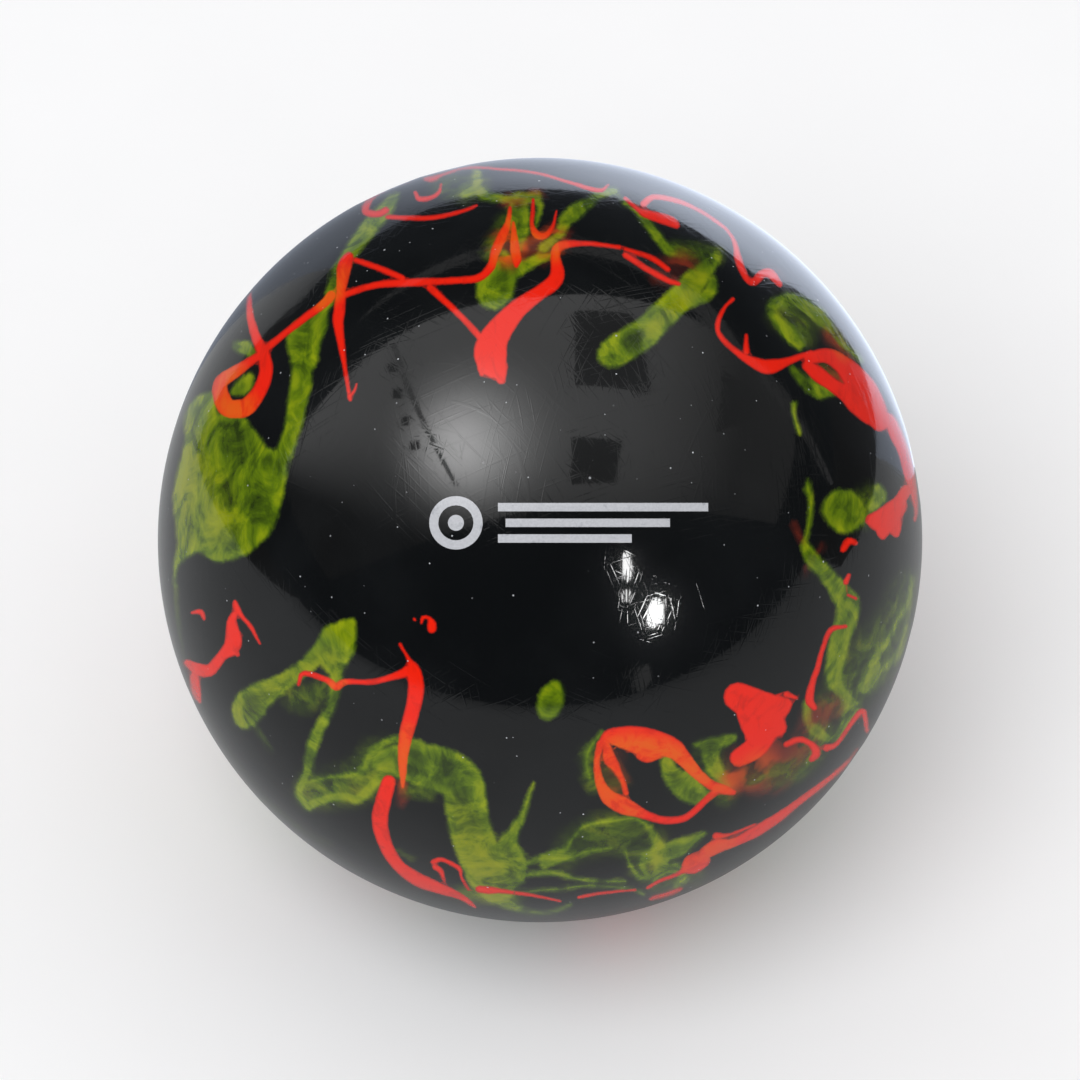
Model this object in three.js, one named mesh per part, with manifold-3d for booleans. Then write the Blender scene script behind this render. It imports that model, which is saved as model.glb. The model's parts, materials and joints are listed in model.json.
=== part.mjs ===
// A field hockey ball: a cork-and-rubber core, a black moulded cover in two bonded halves,
// marbled streaks of red and green plastic in the cover's face, and a printed mark.
// Millimetres, +Z up, origin at the ball's centre. The ball lies with its printed side
// facing -Y and upwards, and its lowest point is on the -Z axis.
import * as THREE from "three";
import { mergeVertices } from "three/addons/utils/BufferGeometryUtils.js";
import Module from "manifold-3d";

// Driving dimensions, in millimetres and degrees.
const BALL_RADIUS = 36.5;
const COVER_THICKNESS = 5.5;
const GAP = 0.3; // clearance left for each bond line
const STREAK_DEPTH = 1.2;
const PRINT_DEPTH = 0.15;
const PRINT_ELEVATION = 50; // how far above level the printed side faces
const VIEW_DISTANCE = 750; // the drawing below is square to the printed side, seen from here
const REAR_TWIST = 1.5; // turns of the drawing per turn from the outline to the far side

// Faceting of the round surfaces: parts that each eighth of a ball's edge is cut into.
const OUTER_DETAIL = 7;
const INNER_DETAIL = 5;
const ROUND_SEGMENTS = 6; // corners of the mark's ring are twice this
const BROAD_CAP = 3; // a stroke's end wider than this is round, and a narrower one is pointed
const BROAD_CAP_STEPS = 4;
const NARROW_CAP_STEPS = 2;
const REAR_HALF_WIDTH = 3; // only strokes at least this broad are repeated on the rear side

// The cutting prisms reach well past the cover's face on both sides.
const CUT_FLOOR = BALL_RADIUS - 8;
const CUT_TOP = BALL_RADIUS + 6;
const OUTLINE_LIMIT = 99.5; // the drawing stops just short of the ball's outline
const SMALLEST_STREAK = 1.5; // cubic millimetres

const COLOURS = {
  core: 0x8a6a45,
  cover: 0x121415,
  red: 0xd62a17,
  green: 0x64760a,
  ink: 0xb9bbc3,
};

// Each streak is a brush stroke: [across, up, half width] at each point, in hundredths of
// the ball's outline radius.
const RED_STROKES = [
  // Rope and loop at the upper left, and the strand that leaves it.
  [[-76, 62, 1], [-74.5, 53.5, 1.3], [-72, 49, 1.7], [-71.8, 43, 1.8], [-74.5, 37, 2.2],
    [-80, 34, 2.3]],
  [[-81, 34.5, 2.1], [-83.5, 39, 2], [-80, 44, 1.7], [-74, 47.5, 1.3]],
  [[-72, 49, 1.2], [-53, 64.5, 1.4]],
  // Tapering vein, and the strands between it and the drip.
  [[-50.3, 73.5, 1.6], [-52.3, 63, 1.5], [-52.5, 55, 1.3], [-49.8, 37, 0.7]],
  [[-51.5, 64, 1], [-40, 67, 1], [-16.5, 68.5, 1.1], [-11.5, 75, 1.2], [-7.8, 86.5, 1]],
  [[-29, 66.5, 1], [-15, 52.5, 1]],
  // Drip that swells towards its end.
  [[22, 76, 0.8], [7.5, 77.3, 1.1], [4.2, 75, 1.3], [4.6, 70, 1.9], [0, 65, 2], [-6.5, 60, 2.6],
    [-11.3, 54, 3.6], [-13, 48.5, 4.3], [-10.6, 43, 1.8]],
  // Strand along the upper right edge.
  [[47, 83, 0.8], [51, 77.5, 0.8], [52.8, 70.5, 1.1], [55.3, 67.6, 1.2], [62.3, 68.5, 1]],
  // Open loop on the right, and the broad band that it runs into.
  [[48.5, 61, 0.7], [46.6, 56, 0.8], [49.6, 50.8, 0.8], [55, 46.8, 1.4], [61, 45.5, 1.9],
    [71, 48.5, 1.2], [78, 46.8, 2.4], [84.5, 41.5, 3.6], [87, 34, 3.2], [91.5, 30, 2.2],
    [95.5, 21, 1.7], [96, 13, 1.4], [92, 7, 2.8], [88.5, 4.5, 2.4]],
  // Veins at the left edge.
  [[-79.5, -17, 0.9], [-80, -24.5, 2.2], [-81.5, -29, 2], [-85, -32.8, 1.3], [-90, -34, 1.7],
    [-89.8, -40, 1.3]],
  // Vein to the left of the lower middle, and its long cross strand.
  [[-35.5, -30, 0.8], [-33, -34.5, 1.8], [-32.5, -40, 1.9], [-36, -56, 1.1], [-36, -63, 0.8]],
  [[-62, -35.5, 0.8], [-53.4, -38, 1], [-33, -35, 1.2]],
  // Hanging vein at the lower left.
  [[-39.5, -63, 1.5], [-41.5, -72, 1.7], [-39.9, -80, 1.4], [-35, -87, 1.3], [-20, -93.5, 0.8]],
  // Mushroom-shaped patch at the lower right, and its foot.
  [[51.5, -41.5, 3.8], [57, -44, 4.4], [62.5, -44.5, 3]],
  [[56, -46, 4.6], [57.3, -52, 3.6], [49.5, -62, 1.6]],
  // Loop beside the mushroom's foot.
  [[14.8, -59, 1.5], [17, -52.8, 1.8], [24, -51.2, 2.6], [34, -53.6, 2.6], [40, -58.5, 1.7],
    [46, -66, 1.2]],
  [[46, -66, 1.2], [40, -71.8, 0.9], [31, -72.8, 1], [19, -68, 1.7], [14.8, -59, 1.5]],
  // Long strand along the lower right edge.
  [[81, -57.5, 0.8], [60, -74.8, 1.5], [50.5, -78.6, 1.5], [40, -83.5, 1.5]],
  // Thin strand on the right.
  [[78, -22.8, 0.8], [74, -28.5, 0.8], [71, -40, 1.1]],
];

const GREEN_STROKES = [
  // Broad patch at the left edge, and the arm that it reaches up with.
  [[-88.5, 33, 3.5], [-88, 24, 5], [-89.5, 12, 6.5], [-89, 3, 6]],
  [[-80, 28, 4.6], [-76, 20, 8], [-77, 9, 9], [-82, 1, 6.5]],
  [[-55, 62, 0.9], [-61.5, 52.5, 4.6], [-62, 45, 2.9], [-63.5, 36, 2.8], [-69.5, 20, 4]],
  // Diagonal band above the arm.
  [[-54.8, 67.5, 1.3], [-45.6, 81.4, 1.8], [-39.5, 88, 1.2]],
  // Band and drip at the top, and the strand that arches to the right.
  [[-16.5, 95, 1.4], [-15.5, 90, 1.6], [-5, 87.5, 2.4], [-5, 82, 3], [-9.6, 74, 2.8],
    [-10.5, 69.5, 4.2], [-12, 65, 4.4]],
  [[-6, 70.5, 2.6], [1, 74, 1.4], [6, 80, 1.9], [9, 86, 2], [19, 91.3, 1.4], [34, 75.5, 1.6],
    [45, 74.5, 1.4]],
  // Broad finger at the upper right.
  [[45.5, 73.5, 1.6], [36, 62.6, 3.6], [19, 49, 4.2]],
  // Hook, bar and disc on the right.
  [[68, 51, 1.6], [61, 59, 1.3], [64, 63, 1.6], [74, 56.5, 1.5], [82, 50.5, 1]],
  [[68, 42, 1.1], [75, 38.5, 1.4]],
  [[78.5, 8.5, 4.6], [81.5, 8.5, 4.6]],
  // Long strand down the right side.
  [[70, 14, 1], [69.5, -1, 1], [72.5, -6.2, 2.2], [80.5, -18, 3], [77.5, -30, 2], [77, -38, 2],
    [82, -43, 2]],
  // Leaf at the left, with its arm and its foot.
  [[-50, -22, 2], [-52, -27, 3.9], [-53.6, -38, 1.6], [-60, -56, 1.5], [-62.5, -65, 1.6],
    [-58, -68.5, 1.5], [-47.3, -67.3, 1.6], [-41, -60, 2.6]],
  [[-54, -29, 3.4], [-64.8, -34, 2.2], [-77.5, -43.5, 3.2]],
  // Plate and column at the lower middle, and its spike.
  [[-40, -57, 3.4], [-31, -58, 4.6], [-21, -61.5, 5], [-18, -72, 5.2], [-17, -80, 5.4],
    [-12, -88, 6]],
  [[-3.9, -70, 1], [-9, -82, 3.2]],
  // Strands along the lower edge.
  [[-6, -86, 3], [3, -84.5, 2], [14, -74.5, 0.9], [22, -73.3, 1]],
  [[29, -75, 1.4], [31, -81.5, 3], [38.5, -80, 2.4]],
  // Drop under the print.
  [[4, -38.3, 2], [2, -43, 4]],
  // Folds inside the loop and behind the mushroom.
  [[34, -58, 2], [41, -64, 1.7], [34.5, -66.5, 1.6]],
  [[70, -45.5, 1.5], [73, -50.5, 2], [80, -48, 1.8]],
];

// The printed mark: a ring and dot, with three lines trailing from them. Same units.
const MARK_CENTRE = { across: -22, up: 4.5 };
const RING_RADIUS = 7;
const RING_HOLE = 4.6;
const DOT_RADIUS = 2.1;
const LINE_HALF_WIDTH = 1.1;
const MARK_LINES = {
  print_line_top: { from: -11, to: 44, up: 8.6 },
  print_line_middle: { from: -9, to: 34, up: 4.5 },
  print_line_bottom: { from: -11, to: 24, up: 0.4 },
};

const wasm = await Module();
wasm.setup();
const { Manifold, Mesh } = wasm;

// The direction that the printed side faces, and the drawing's upward direction.
const elevation = THREE.MathUtils.degToRad(PRINT_ELEVATION);
const FACING = new THREE.Vector3(0, -Math.cos(elevation), Math.sin(elevation));
const UPWARD = new THREE.Vector3(0, Math.sin(elevation), Math.cos(elevation));
const ACROSS = new THREE.Vector3(1, 0, 0);
const OUTLINE_SLOPE = BALL_RADIUS / Math.sqrt(VIEW_DISTANCE ** 2 - BALL_RADIUS ** 2);

// Triangle corners of a solid, with every face pointing out.
function solidOf(geometry) {
  const bare = geometry.clone();
  bare.deleteAttribute("normal");
  bare.deleteAttribute("uv");
  const merged = mergeVertices(bare, 1e-4);
  const vertProperties = new Float32Array(merged.attributes.position.array);
  const triVerts = new Uint32Array(merged.index.array);
  const solid = new Manifold(new Mesh({ numProp: 3, vertProperties, triVerts }));
  if (solid.volume() > 0) return solid;
  return new Manifold(new Mesh({ numProp: 3, vertProperties, triVerts: triVerts.reverse() }));
}

// A ball with a corner on each axis.
function ball(radius, detail) {
  return solidOf(new THREE.OctahedronGeometry(radius, detail));
}

// The layer of the cover from its face down to a depth.
function faceLayer(depth, detail) {
  return ball(BALL_RADIUS, OUTER_DETAIL).subtract(ball(BALL_RADIUS - depth, detail));
}

// All that lies further out than a depth below the face.
function openLayer(depth, detail) {
  return ball(CUT_TOP, detail).subtract(ball(BALL_RADIUS - depth, detail));
}

// The point of the ball that a place in the drawing falls on, as a unit vector. The rear
// side carries the same drawing, mirrored through the outline and twisted away from it.
function placeOnBall(across, up, rear) {
  const seen = Math.min(Math.hypot(across, up), OUTLINE_LIMIT) / 100;
  const slope2 = (seen * OUTLINE_SLOPE) ** 2;
  const root = BALL_RADIUS ** 2 * (1 + slope2) - slope2 * VIEW_DISTANCE ** 2;
  const height = (slope2 * VIEW_DISTANCE + Math.sqrt(Math.max(root, 0))) / (1 + slope2);
  const tilt = Math.acos(height / BALL_RADIUS);
  const outlineTilt = Math.acos(BALL_RADIUS / VIEW_DISTANCE);
  const rearTilt = Math.PI - (tilt * (Math.PI - outlineTilt)) / outlineTilt;
  const finalTilt = rear ? rearTilt : tilt;
  const twist = rear ? REAR_TWIST * (finalTilt - outlineTilt) : 0;
  const heading = Math.atan2(up, across) + twist;
  return new THREE.Vector3()
    .addScaledVector(ACROSS, Math.sin(finalTilt) * Math.cos(heading))
    .addScaledVector(UPWARD, Math.sin(finalTilt) * Math.sin(heading))
    .addScaledVector(FACING, Math.cos(finalTilt));
}

// A flat outline from the drawing, wrapped on the ball and run from CUT_FLOOR to CUT_TOP.
function wrapped(shape, rear) {
  const slab = new THREE.ExtrudeGeometry(shape, {
    depth: 1,
    bevelEnabled: false,
    curveSegments: ROUND_SEGMENTS,
  });
  const position = slab.getAttribute("position");
  for (let i = 0; i < position.count; i += 1) {
    const reach = CUT_FLOOR + (CUT_TOP - CUT_FLOOR) * position.getZ(i);
    const place = placeOnBall(position.getX(i), position.getY(i), rear).multiplyScalar(reach);
    position.setXYZ(i, place.x, place.y, place.z);
  }
  return solidOf(slab);
}

function disc(across, up, radius) {
  return new THREE.Shape().absarc(across, up, radius, 0, 2 * Math.PI);
}

// A straight bar between two places in the drawing.
function bar(from, to, half) {
  const corners = [[from.x, from.y - half], [to.x, to.y - half], [to.x, to.y + half]];
  corners.push([from.x, from.y + half]);
  return new THREE.Shape(corners.map(([x, y]) => new THREE.Vector2(x, y)));
}

// The edge point at one side of each point of a stroke, square to its mean direction there.
function strokeEdge(points, sign) {
  return points.map(({ place, half }, i) => {
    const before = points[Math.max(i - 1, 0)].place;
    const after = points[Math.min(i + 1, points.length - 1)].place;
    const into = place.clone().sub(before).normalize();
    const out = after.clone().sub(place).normalize();
    const side = into.add(out).normalize().rotateAround(new THREE.Vector2(), Math.PI / 2);
    return place.clone().addScaledVector(side, sign * half);
  });
}

// The corners of a stroke's round end, between its two edge points.
function cap(start, end) {
  const centre = start.clone().add(end).multiplyScalar(0.5);
  const steps = start.distanceTo(end) > BROAD_CAP ? BROAD_CAP_STEPS : NARROW_CAP_STEPS;
  const corners = [];
  for (let step = 1; step < steps; step += 1) {
    corners.push(start.clone().rotateAround(centre, (Math.PI * step) / steps));
  }
  return corners;
}

// A stroke's outline: along one edge, round the end, back along the other edge and round.
function strokeShape(stroke, margin) {
  const grow = (margin / BALL_RADIUS) * 100;
  const points = stroke.map(([across, up, half]) => {
    return { place: new THREE.Vector2(across, up), half: half + grow };
  });
  const right = strokeEdge(points, -1);
  const left = strokeEdge(points, 1).reverse();
  const farCap = cap(right.at(-1), left[0]);
  const nearCap = cap(left.at(-1), right[0]);
  return new THREE.Shape([...right, ...farCap, ...left, ...nearCap]);
}

function isBroad(stroke) {
  return stroke.some(([, , half]) => half >= REAR_HALF_WIDTH);
}

// Every stroke on the printed side and the broad ones on the rear side, as one solid.
function allAround(strokes, margin) {
  const front = strokes.map((stroke) => wrapped(strokeShape(stroke, margin), false));
  const broad = strokes.filter(isBroad);
  const rear = broad.map((stroke) => wrapped(strokeShape(stroke, margin), true));
  return Manifold.union([...front, ...rear]);
}

// A thick slab across the ball at its seam, square to the direction the print faces.
function seamSlab(thickness) {
  const side = 3 * BALL_RADIUS;
  const slab = new THREE.BoxGeometry(side, side, thickness);
  const turn = new THREE.Quaternion().setFromUnitVectors(new THREE.Vector3(0, 0, 1), FACING);
  return solidOf(slab.applyQuaternion(turn));
}

function halfSpace(sign) {
  const side = 3 * BALL_RADIUS;
  const block = new THREE.BoxGeometry(side, side, side);
  block.translate(0, 0, (sign * (side + GAP)) / 2);
  const turn = new THREE.Quaternion().setFromUnitVectors(new THREE.Vector3(0, 0, 1), FACING);
  return solidOf(block.applyQuaternion(turn));
}

function markLine({ from, to, up }, margin) {
  const start = new THREE.Vector2(from - margin, up);
  return bar(start, new THREE.Vector2(to + margin, up), LINE_HALF_WIDTH + margin);
}

function printShapes() {
  const ring = disc(MARK_CENTRE.across, MARK_CENTRE.up, RING_RADIUS);
  ring.holes.push(disc(MARK_CENTRE.across, MARK_CENTRE.up, RING_HOLE));
  const dot = disc(MARK_CENTRE.across, MARK_CENTRE.up, DOT_RADIUS);
  const shapes = { print_ring: ring, print_dot: dot };
  for (const [name, line] of Object.entries(MARK_LINES)) {
    shapes[name] = markLine(line, 0);
  }
  return shapes;
}

// The shallow beds that the mark is printed in.
function printBeds() {
  const margin = (GAP / BALL_RADIUS) * 100;
  const ringBed = disc(MARK_CENTRE.across, MARK_CENTRE.up, RING_RADIUS + margin);
  const lineBeds = Object.values(MARK_LINES).map((line) => markLine(line, margin));
  return Manifold.union([ringBed, ...lineBeds].map((shape) => wrapped(shape, false)));
}

function meshOf(solid, name, colour, roughness) {
  const { vertProperties, triVerts } = solid.getMesh();
  const geometry = new THREE.BufferGeometry();
  geometry.setAttribute("position", new THREE.BufferAttribute(vertProperties, 3));
  geometry.setIndex(new THREE.BufferAttribute(triVerts, 1));
  geometry.computeVertexNormals();
  const material = new THREE.MeshStandardMaterial({ color: colour, roughness, metalness: 0 });
  const mesh = new THREE.Mesh(geometry, material);
  mesh.name = name;
  return mesh;
}

// Each separate body of one colour is a streak of its own, the largest first.
function streakMeshes(solid, stem, colour) {
  return solid
    .decompose()
    .filter((body) => body.volume() > SMALLEST_STREAK)
    .sort((a, b) => b.volume() - a.volume())
    .map((body, i) => meshOf(body, `${stem}_${String(i + 1).padStart(2, "0")}`, colour, 0.15));
}

const ballGroup = new THREE.Group();

const coreRadius = BALL_RADIUS - COVER_THICKNESS - GAP;
ballGroup.add(meshOf(ball(coreRadius, INNER_DETAIL), "core", COLOURS.core, 0.9));

const redCutter = allAround(RED_STROKES, 0);
const greenCutter = allAround(GREEN_STROKES, 0).subtract(allAround(RED_STROKES, GAP));
const streakLayer = faceLayer(STREAK_DEPTH, INNER_DETAIL).subtract(seamSlab(GAP));
ballGroup.add(...streakMeshes(streakLayer.intersect(redCutter), "red_streak", COLOURS.red));
ballGroup.add(...streakMeshes(streakLayer.intersect(greenCutter), "green_streak", COLOURS.green));

const printLayer = faceLayer(PRINT_DEPTH, OUTER_DETAIL);
for (const [name, shape] of Object.entries(printShapes())) {
  const patch = printLayer.intersect(wrapped(shape, false));
  ballGroup.add(meshOf(patch, name, COLOURS.ink, 0.3));
}

const pockets = openLayer(STREAK_DEPTH + GAP, INNER_DETAIL)
  .intersect(allAround([...RED_STROKES, ...GREEN_STROKES], GAP));
const beds = openLayer(PRINT_DEPTH + GAP, OUTER_DETAIL).intersect(printBeds());
const cover = ball(BALL_RADIUS, OUTER_DETAIL)
  .subtract(ball(BALL_RADIUS - COVER_THICKNESS, INNER_DETAIL))
  .subtract(pockets)
  .subtract(beds);
ballGroup.add(meshOf(cover.intersect(halfSpace(1)), "cover_front", COLOURS.cover, 0.15));
ballGroup.add(meshOf(cover.intersect(halfSpace(-1)), "cover_rear", COLOURS.cover, 0.15));

export default ballGroup;
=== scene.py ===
# A field hockey ball with a marbled black, red and green cover and a printed mark.
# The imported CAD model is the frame. The cover halves, the streaks and the printed patches are
# rebuilt here as smooth, closed, flush solids, and each one replaces its faceted CAD node.
import json
import math

import bpy
import numpy as np
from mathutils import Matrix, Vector
from mathutils.geometry import delaunay_2d_cdt
from mathutils.kdtree import KDTree


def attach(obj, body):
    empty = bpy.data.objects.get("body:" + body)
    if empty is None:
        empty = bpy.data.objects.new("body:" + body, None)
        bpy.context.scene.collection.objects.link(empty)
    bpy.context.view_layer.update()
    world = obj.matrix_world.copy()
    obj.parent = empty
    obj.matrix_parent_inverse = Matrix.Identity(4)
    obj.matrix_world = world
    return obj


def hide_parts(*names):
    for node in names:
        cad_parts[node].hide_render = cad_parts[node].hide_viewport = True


# ---------------------------------------------------------------- sizes, in metres and degrees
BALL_RADIUS = 0.0365
COVER_THICKNESS = 0.0055
STREAK_DEPTH = 0.0012
PRINT_DEPTH = 0.00015
BOND_GAP = 0.00001  # left under each inlay, and on each side of the seam
PRINT_ELEVATION = 50.0  # how far above level the printed side faces
VIEW_DISTANCE = 0.75
LENS_MM = 261.5
REAR_TWIST = 1.5  # turns of the drawing per turn from the outline to the far side

OUTLINE_LIMIT = 99.5  # the drawing stops just short of the ball's outline
SURFACE_STEP = 1.3  # spacing of the plain surface's points
STROKE_STEP = 0.7  # spacing of the points along a streak
CHART_EDGE = 94.0  # each half is meshed a little past the seam and then trimmed
SEAM_POINTS = 360
INNER_RINGS = 14
FIELD_REACH = 6.0  # depths are measured this far from a streak, in hundredths of the radius
KEEP_CLEAR = 0.7  # plain surface points keep this far from a streak's edge
EDGE_TOLERANCE = 0.15  # a point of an outline this near the colour's edge lies on it
LEVEL_CORNERS = 0.25  # corners all nearer an edge than this may span a gap
MISSED_DEPTH = 0.3  # and do, where the middle lies further from it than this
CIRCLE_CORNERS = 24  # the fewest that a circle of the mark has
GAP_ROUNDS = 2  # times that narrow gaps between streaks are given more points
SMALLEST_STREAK = 0.02e-6  # square metres

FLOOR_HEIGHT = -BALL_RADIUS - 0.00005
FLOOR_RADIUS = 5.0
FLOOR_CORNERS = 96
FLOOR_GRAIN = (0.7, 0.7, 0.7, 1)
FLOOR_COLOUR = (0.94, 0.94, 0.95, 1)
FLOOR_IN_GLOSS = (0.40, 0.41, 0.42, 1)
AMBIENT_LIGHT = 0.76
ROOM_DARKNESS = 0.06
ROOM_COLOUR = (0.8, 0.9, 1.0, 1)
WHITE = (1, 1, 1, 1)
KEY_POWER = 7.0
KEY_SIZE = 0.9
KEY_PLACE = (-0.35, -0.6, 1.1)
LAMP_CORNERS = 24
CEILING_HEIGHT = 1.2
CEILING_LIGHT = 1.0
GLOW_LIGHT = 7.0
GLOW_PLACE = (-20.8, 24.5)  # in the drawing
GLOW_SPREAD = 0.24
# The lit ceiling, in metres: across and back.
CEILING_OUTLINE = [(-5.5, 0.88), (0.0, 0.88), (4.6, 2.3), (4.6, -0.6), (0.0, -0.7), (-5.5, -2.4)]
# Most of what the gloss shows is drawn where it shows on the ball, in the drawing's units, and
# mirrored() finds where that is in the room. First, the dark openings in the ceiling.
CEILING_PANELS = [
    [(9, 40.5), (29, 38), (24.5, 59), (9, 60)],
    [(8, 14.5), (19.5, 15), (21.5, 26), (8.5, 27)],
    [(46, 28), (54, 31), (58, 38), (47.5, 44.5)],
]
# Small blocks beside the dark rail, and half their size.
RAIL_BLOCKS = [(-38.5, 45.2), (-37.2, 38.3), (-35, 31.2), (-32.8, 24.8)]
BLOCK_SIZE = 1.3
CEILING_RAIL = [(-39.2, 51), (-37.4, 51), (-21.2, 14), (-22.3, 14)]
PANEL_HEIGHT = CEILING_HEIGHT - 0.01
PANEL_LIGHT = 0.24
RAIL_LIGHT = 0.6
DARK_END_LIGHT = 0.06
# The pale strip along the far walls: (degrees round from the right, distance from the middle
# of the drawing, half its height in degrees).
WALL_STRIP = [(130, 74, 0.2), (110, 75.5, 2), (90, 77, 3), (73, 77, 3), (58, 74.5, 3), (45, 71, 3),
              (31, 72.5, 3), (19, 75, 3), (11, 77, 3)]
STRIP_LIGHT = 0.30
WALL_DISTANCE = 3.0
CARD_HEIGHT = FLOOR_HEIGHT + 0.0004
DARK_HEIGHT = CARD_HEIGHT + 0.0002
# The table's dark ends, left and right: the edge that shows, (degrees round, distance from the
# middle), and the far corners beyond the view, in metres.
DARK_ENDS = [
    ("dark_left", [(135, 88.5), (150, 91), (157, 92.5), (165, 93), (174, 85.5), (180, 80), (188, 72)],
     [(-3, -0.9), (-5, -1.5), (-5, 4.5), (-3.3, 4.5)]),
    ("dark_right", [(45, 93.5), (38, 95.5), (30, 96), (22, 94), (15, 91), (8, 88), (0, 83), (-5, 79)],
     [(0.6, -0.03), (5, -0.3), (5, 4), (2.4, 4)]),
]
# The daylight between them, in metres.
DAYLIGHT = [(-0.03, 0.03), (0.07, 0.045), (0.2, 0.1), (4.5, 2.5), (4.5, 4.5), (-2.6, 4.5)]
DAYLIGHT_STRENGTH = 2.3
DAYLIGHT_COLOUR = (0.76, 0.84, 1.0, 1)
# Bulbs and bright fittings: name, top and bottom in the drawing, width and strength.
LAMPS = [
    ("bulb_upper", (22, -3.2), (22.6, -10.6), 0.05, 24),
    ("bulb_middle", (22.4, -12.6), (22.4, -16), 0.045, 16),
    ("bulb_lower", (30.3, -15), (28.8, -22.6), 0.08, 40),
    ("bright_patch", (27, -32), (25.5, -39), 0.09, 0.45),
]

MARBLED_SLOTS = {
    "cover": "black_marbled_plastic",
    "streak_red": "red_marbled_plastic",
    "streak_green": "green_marbled_plastic",
}
SUFFIX = {"cover": "_shell", "streak_red": "_inlay", "streak_green": "_inlay", "print_ink": "_ink"}

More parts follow.
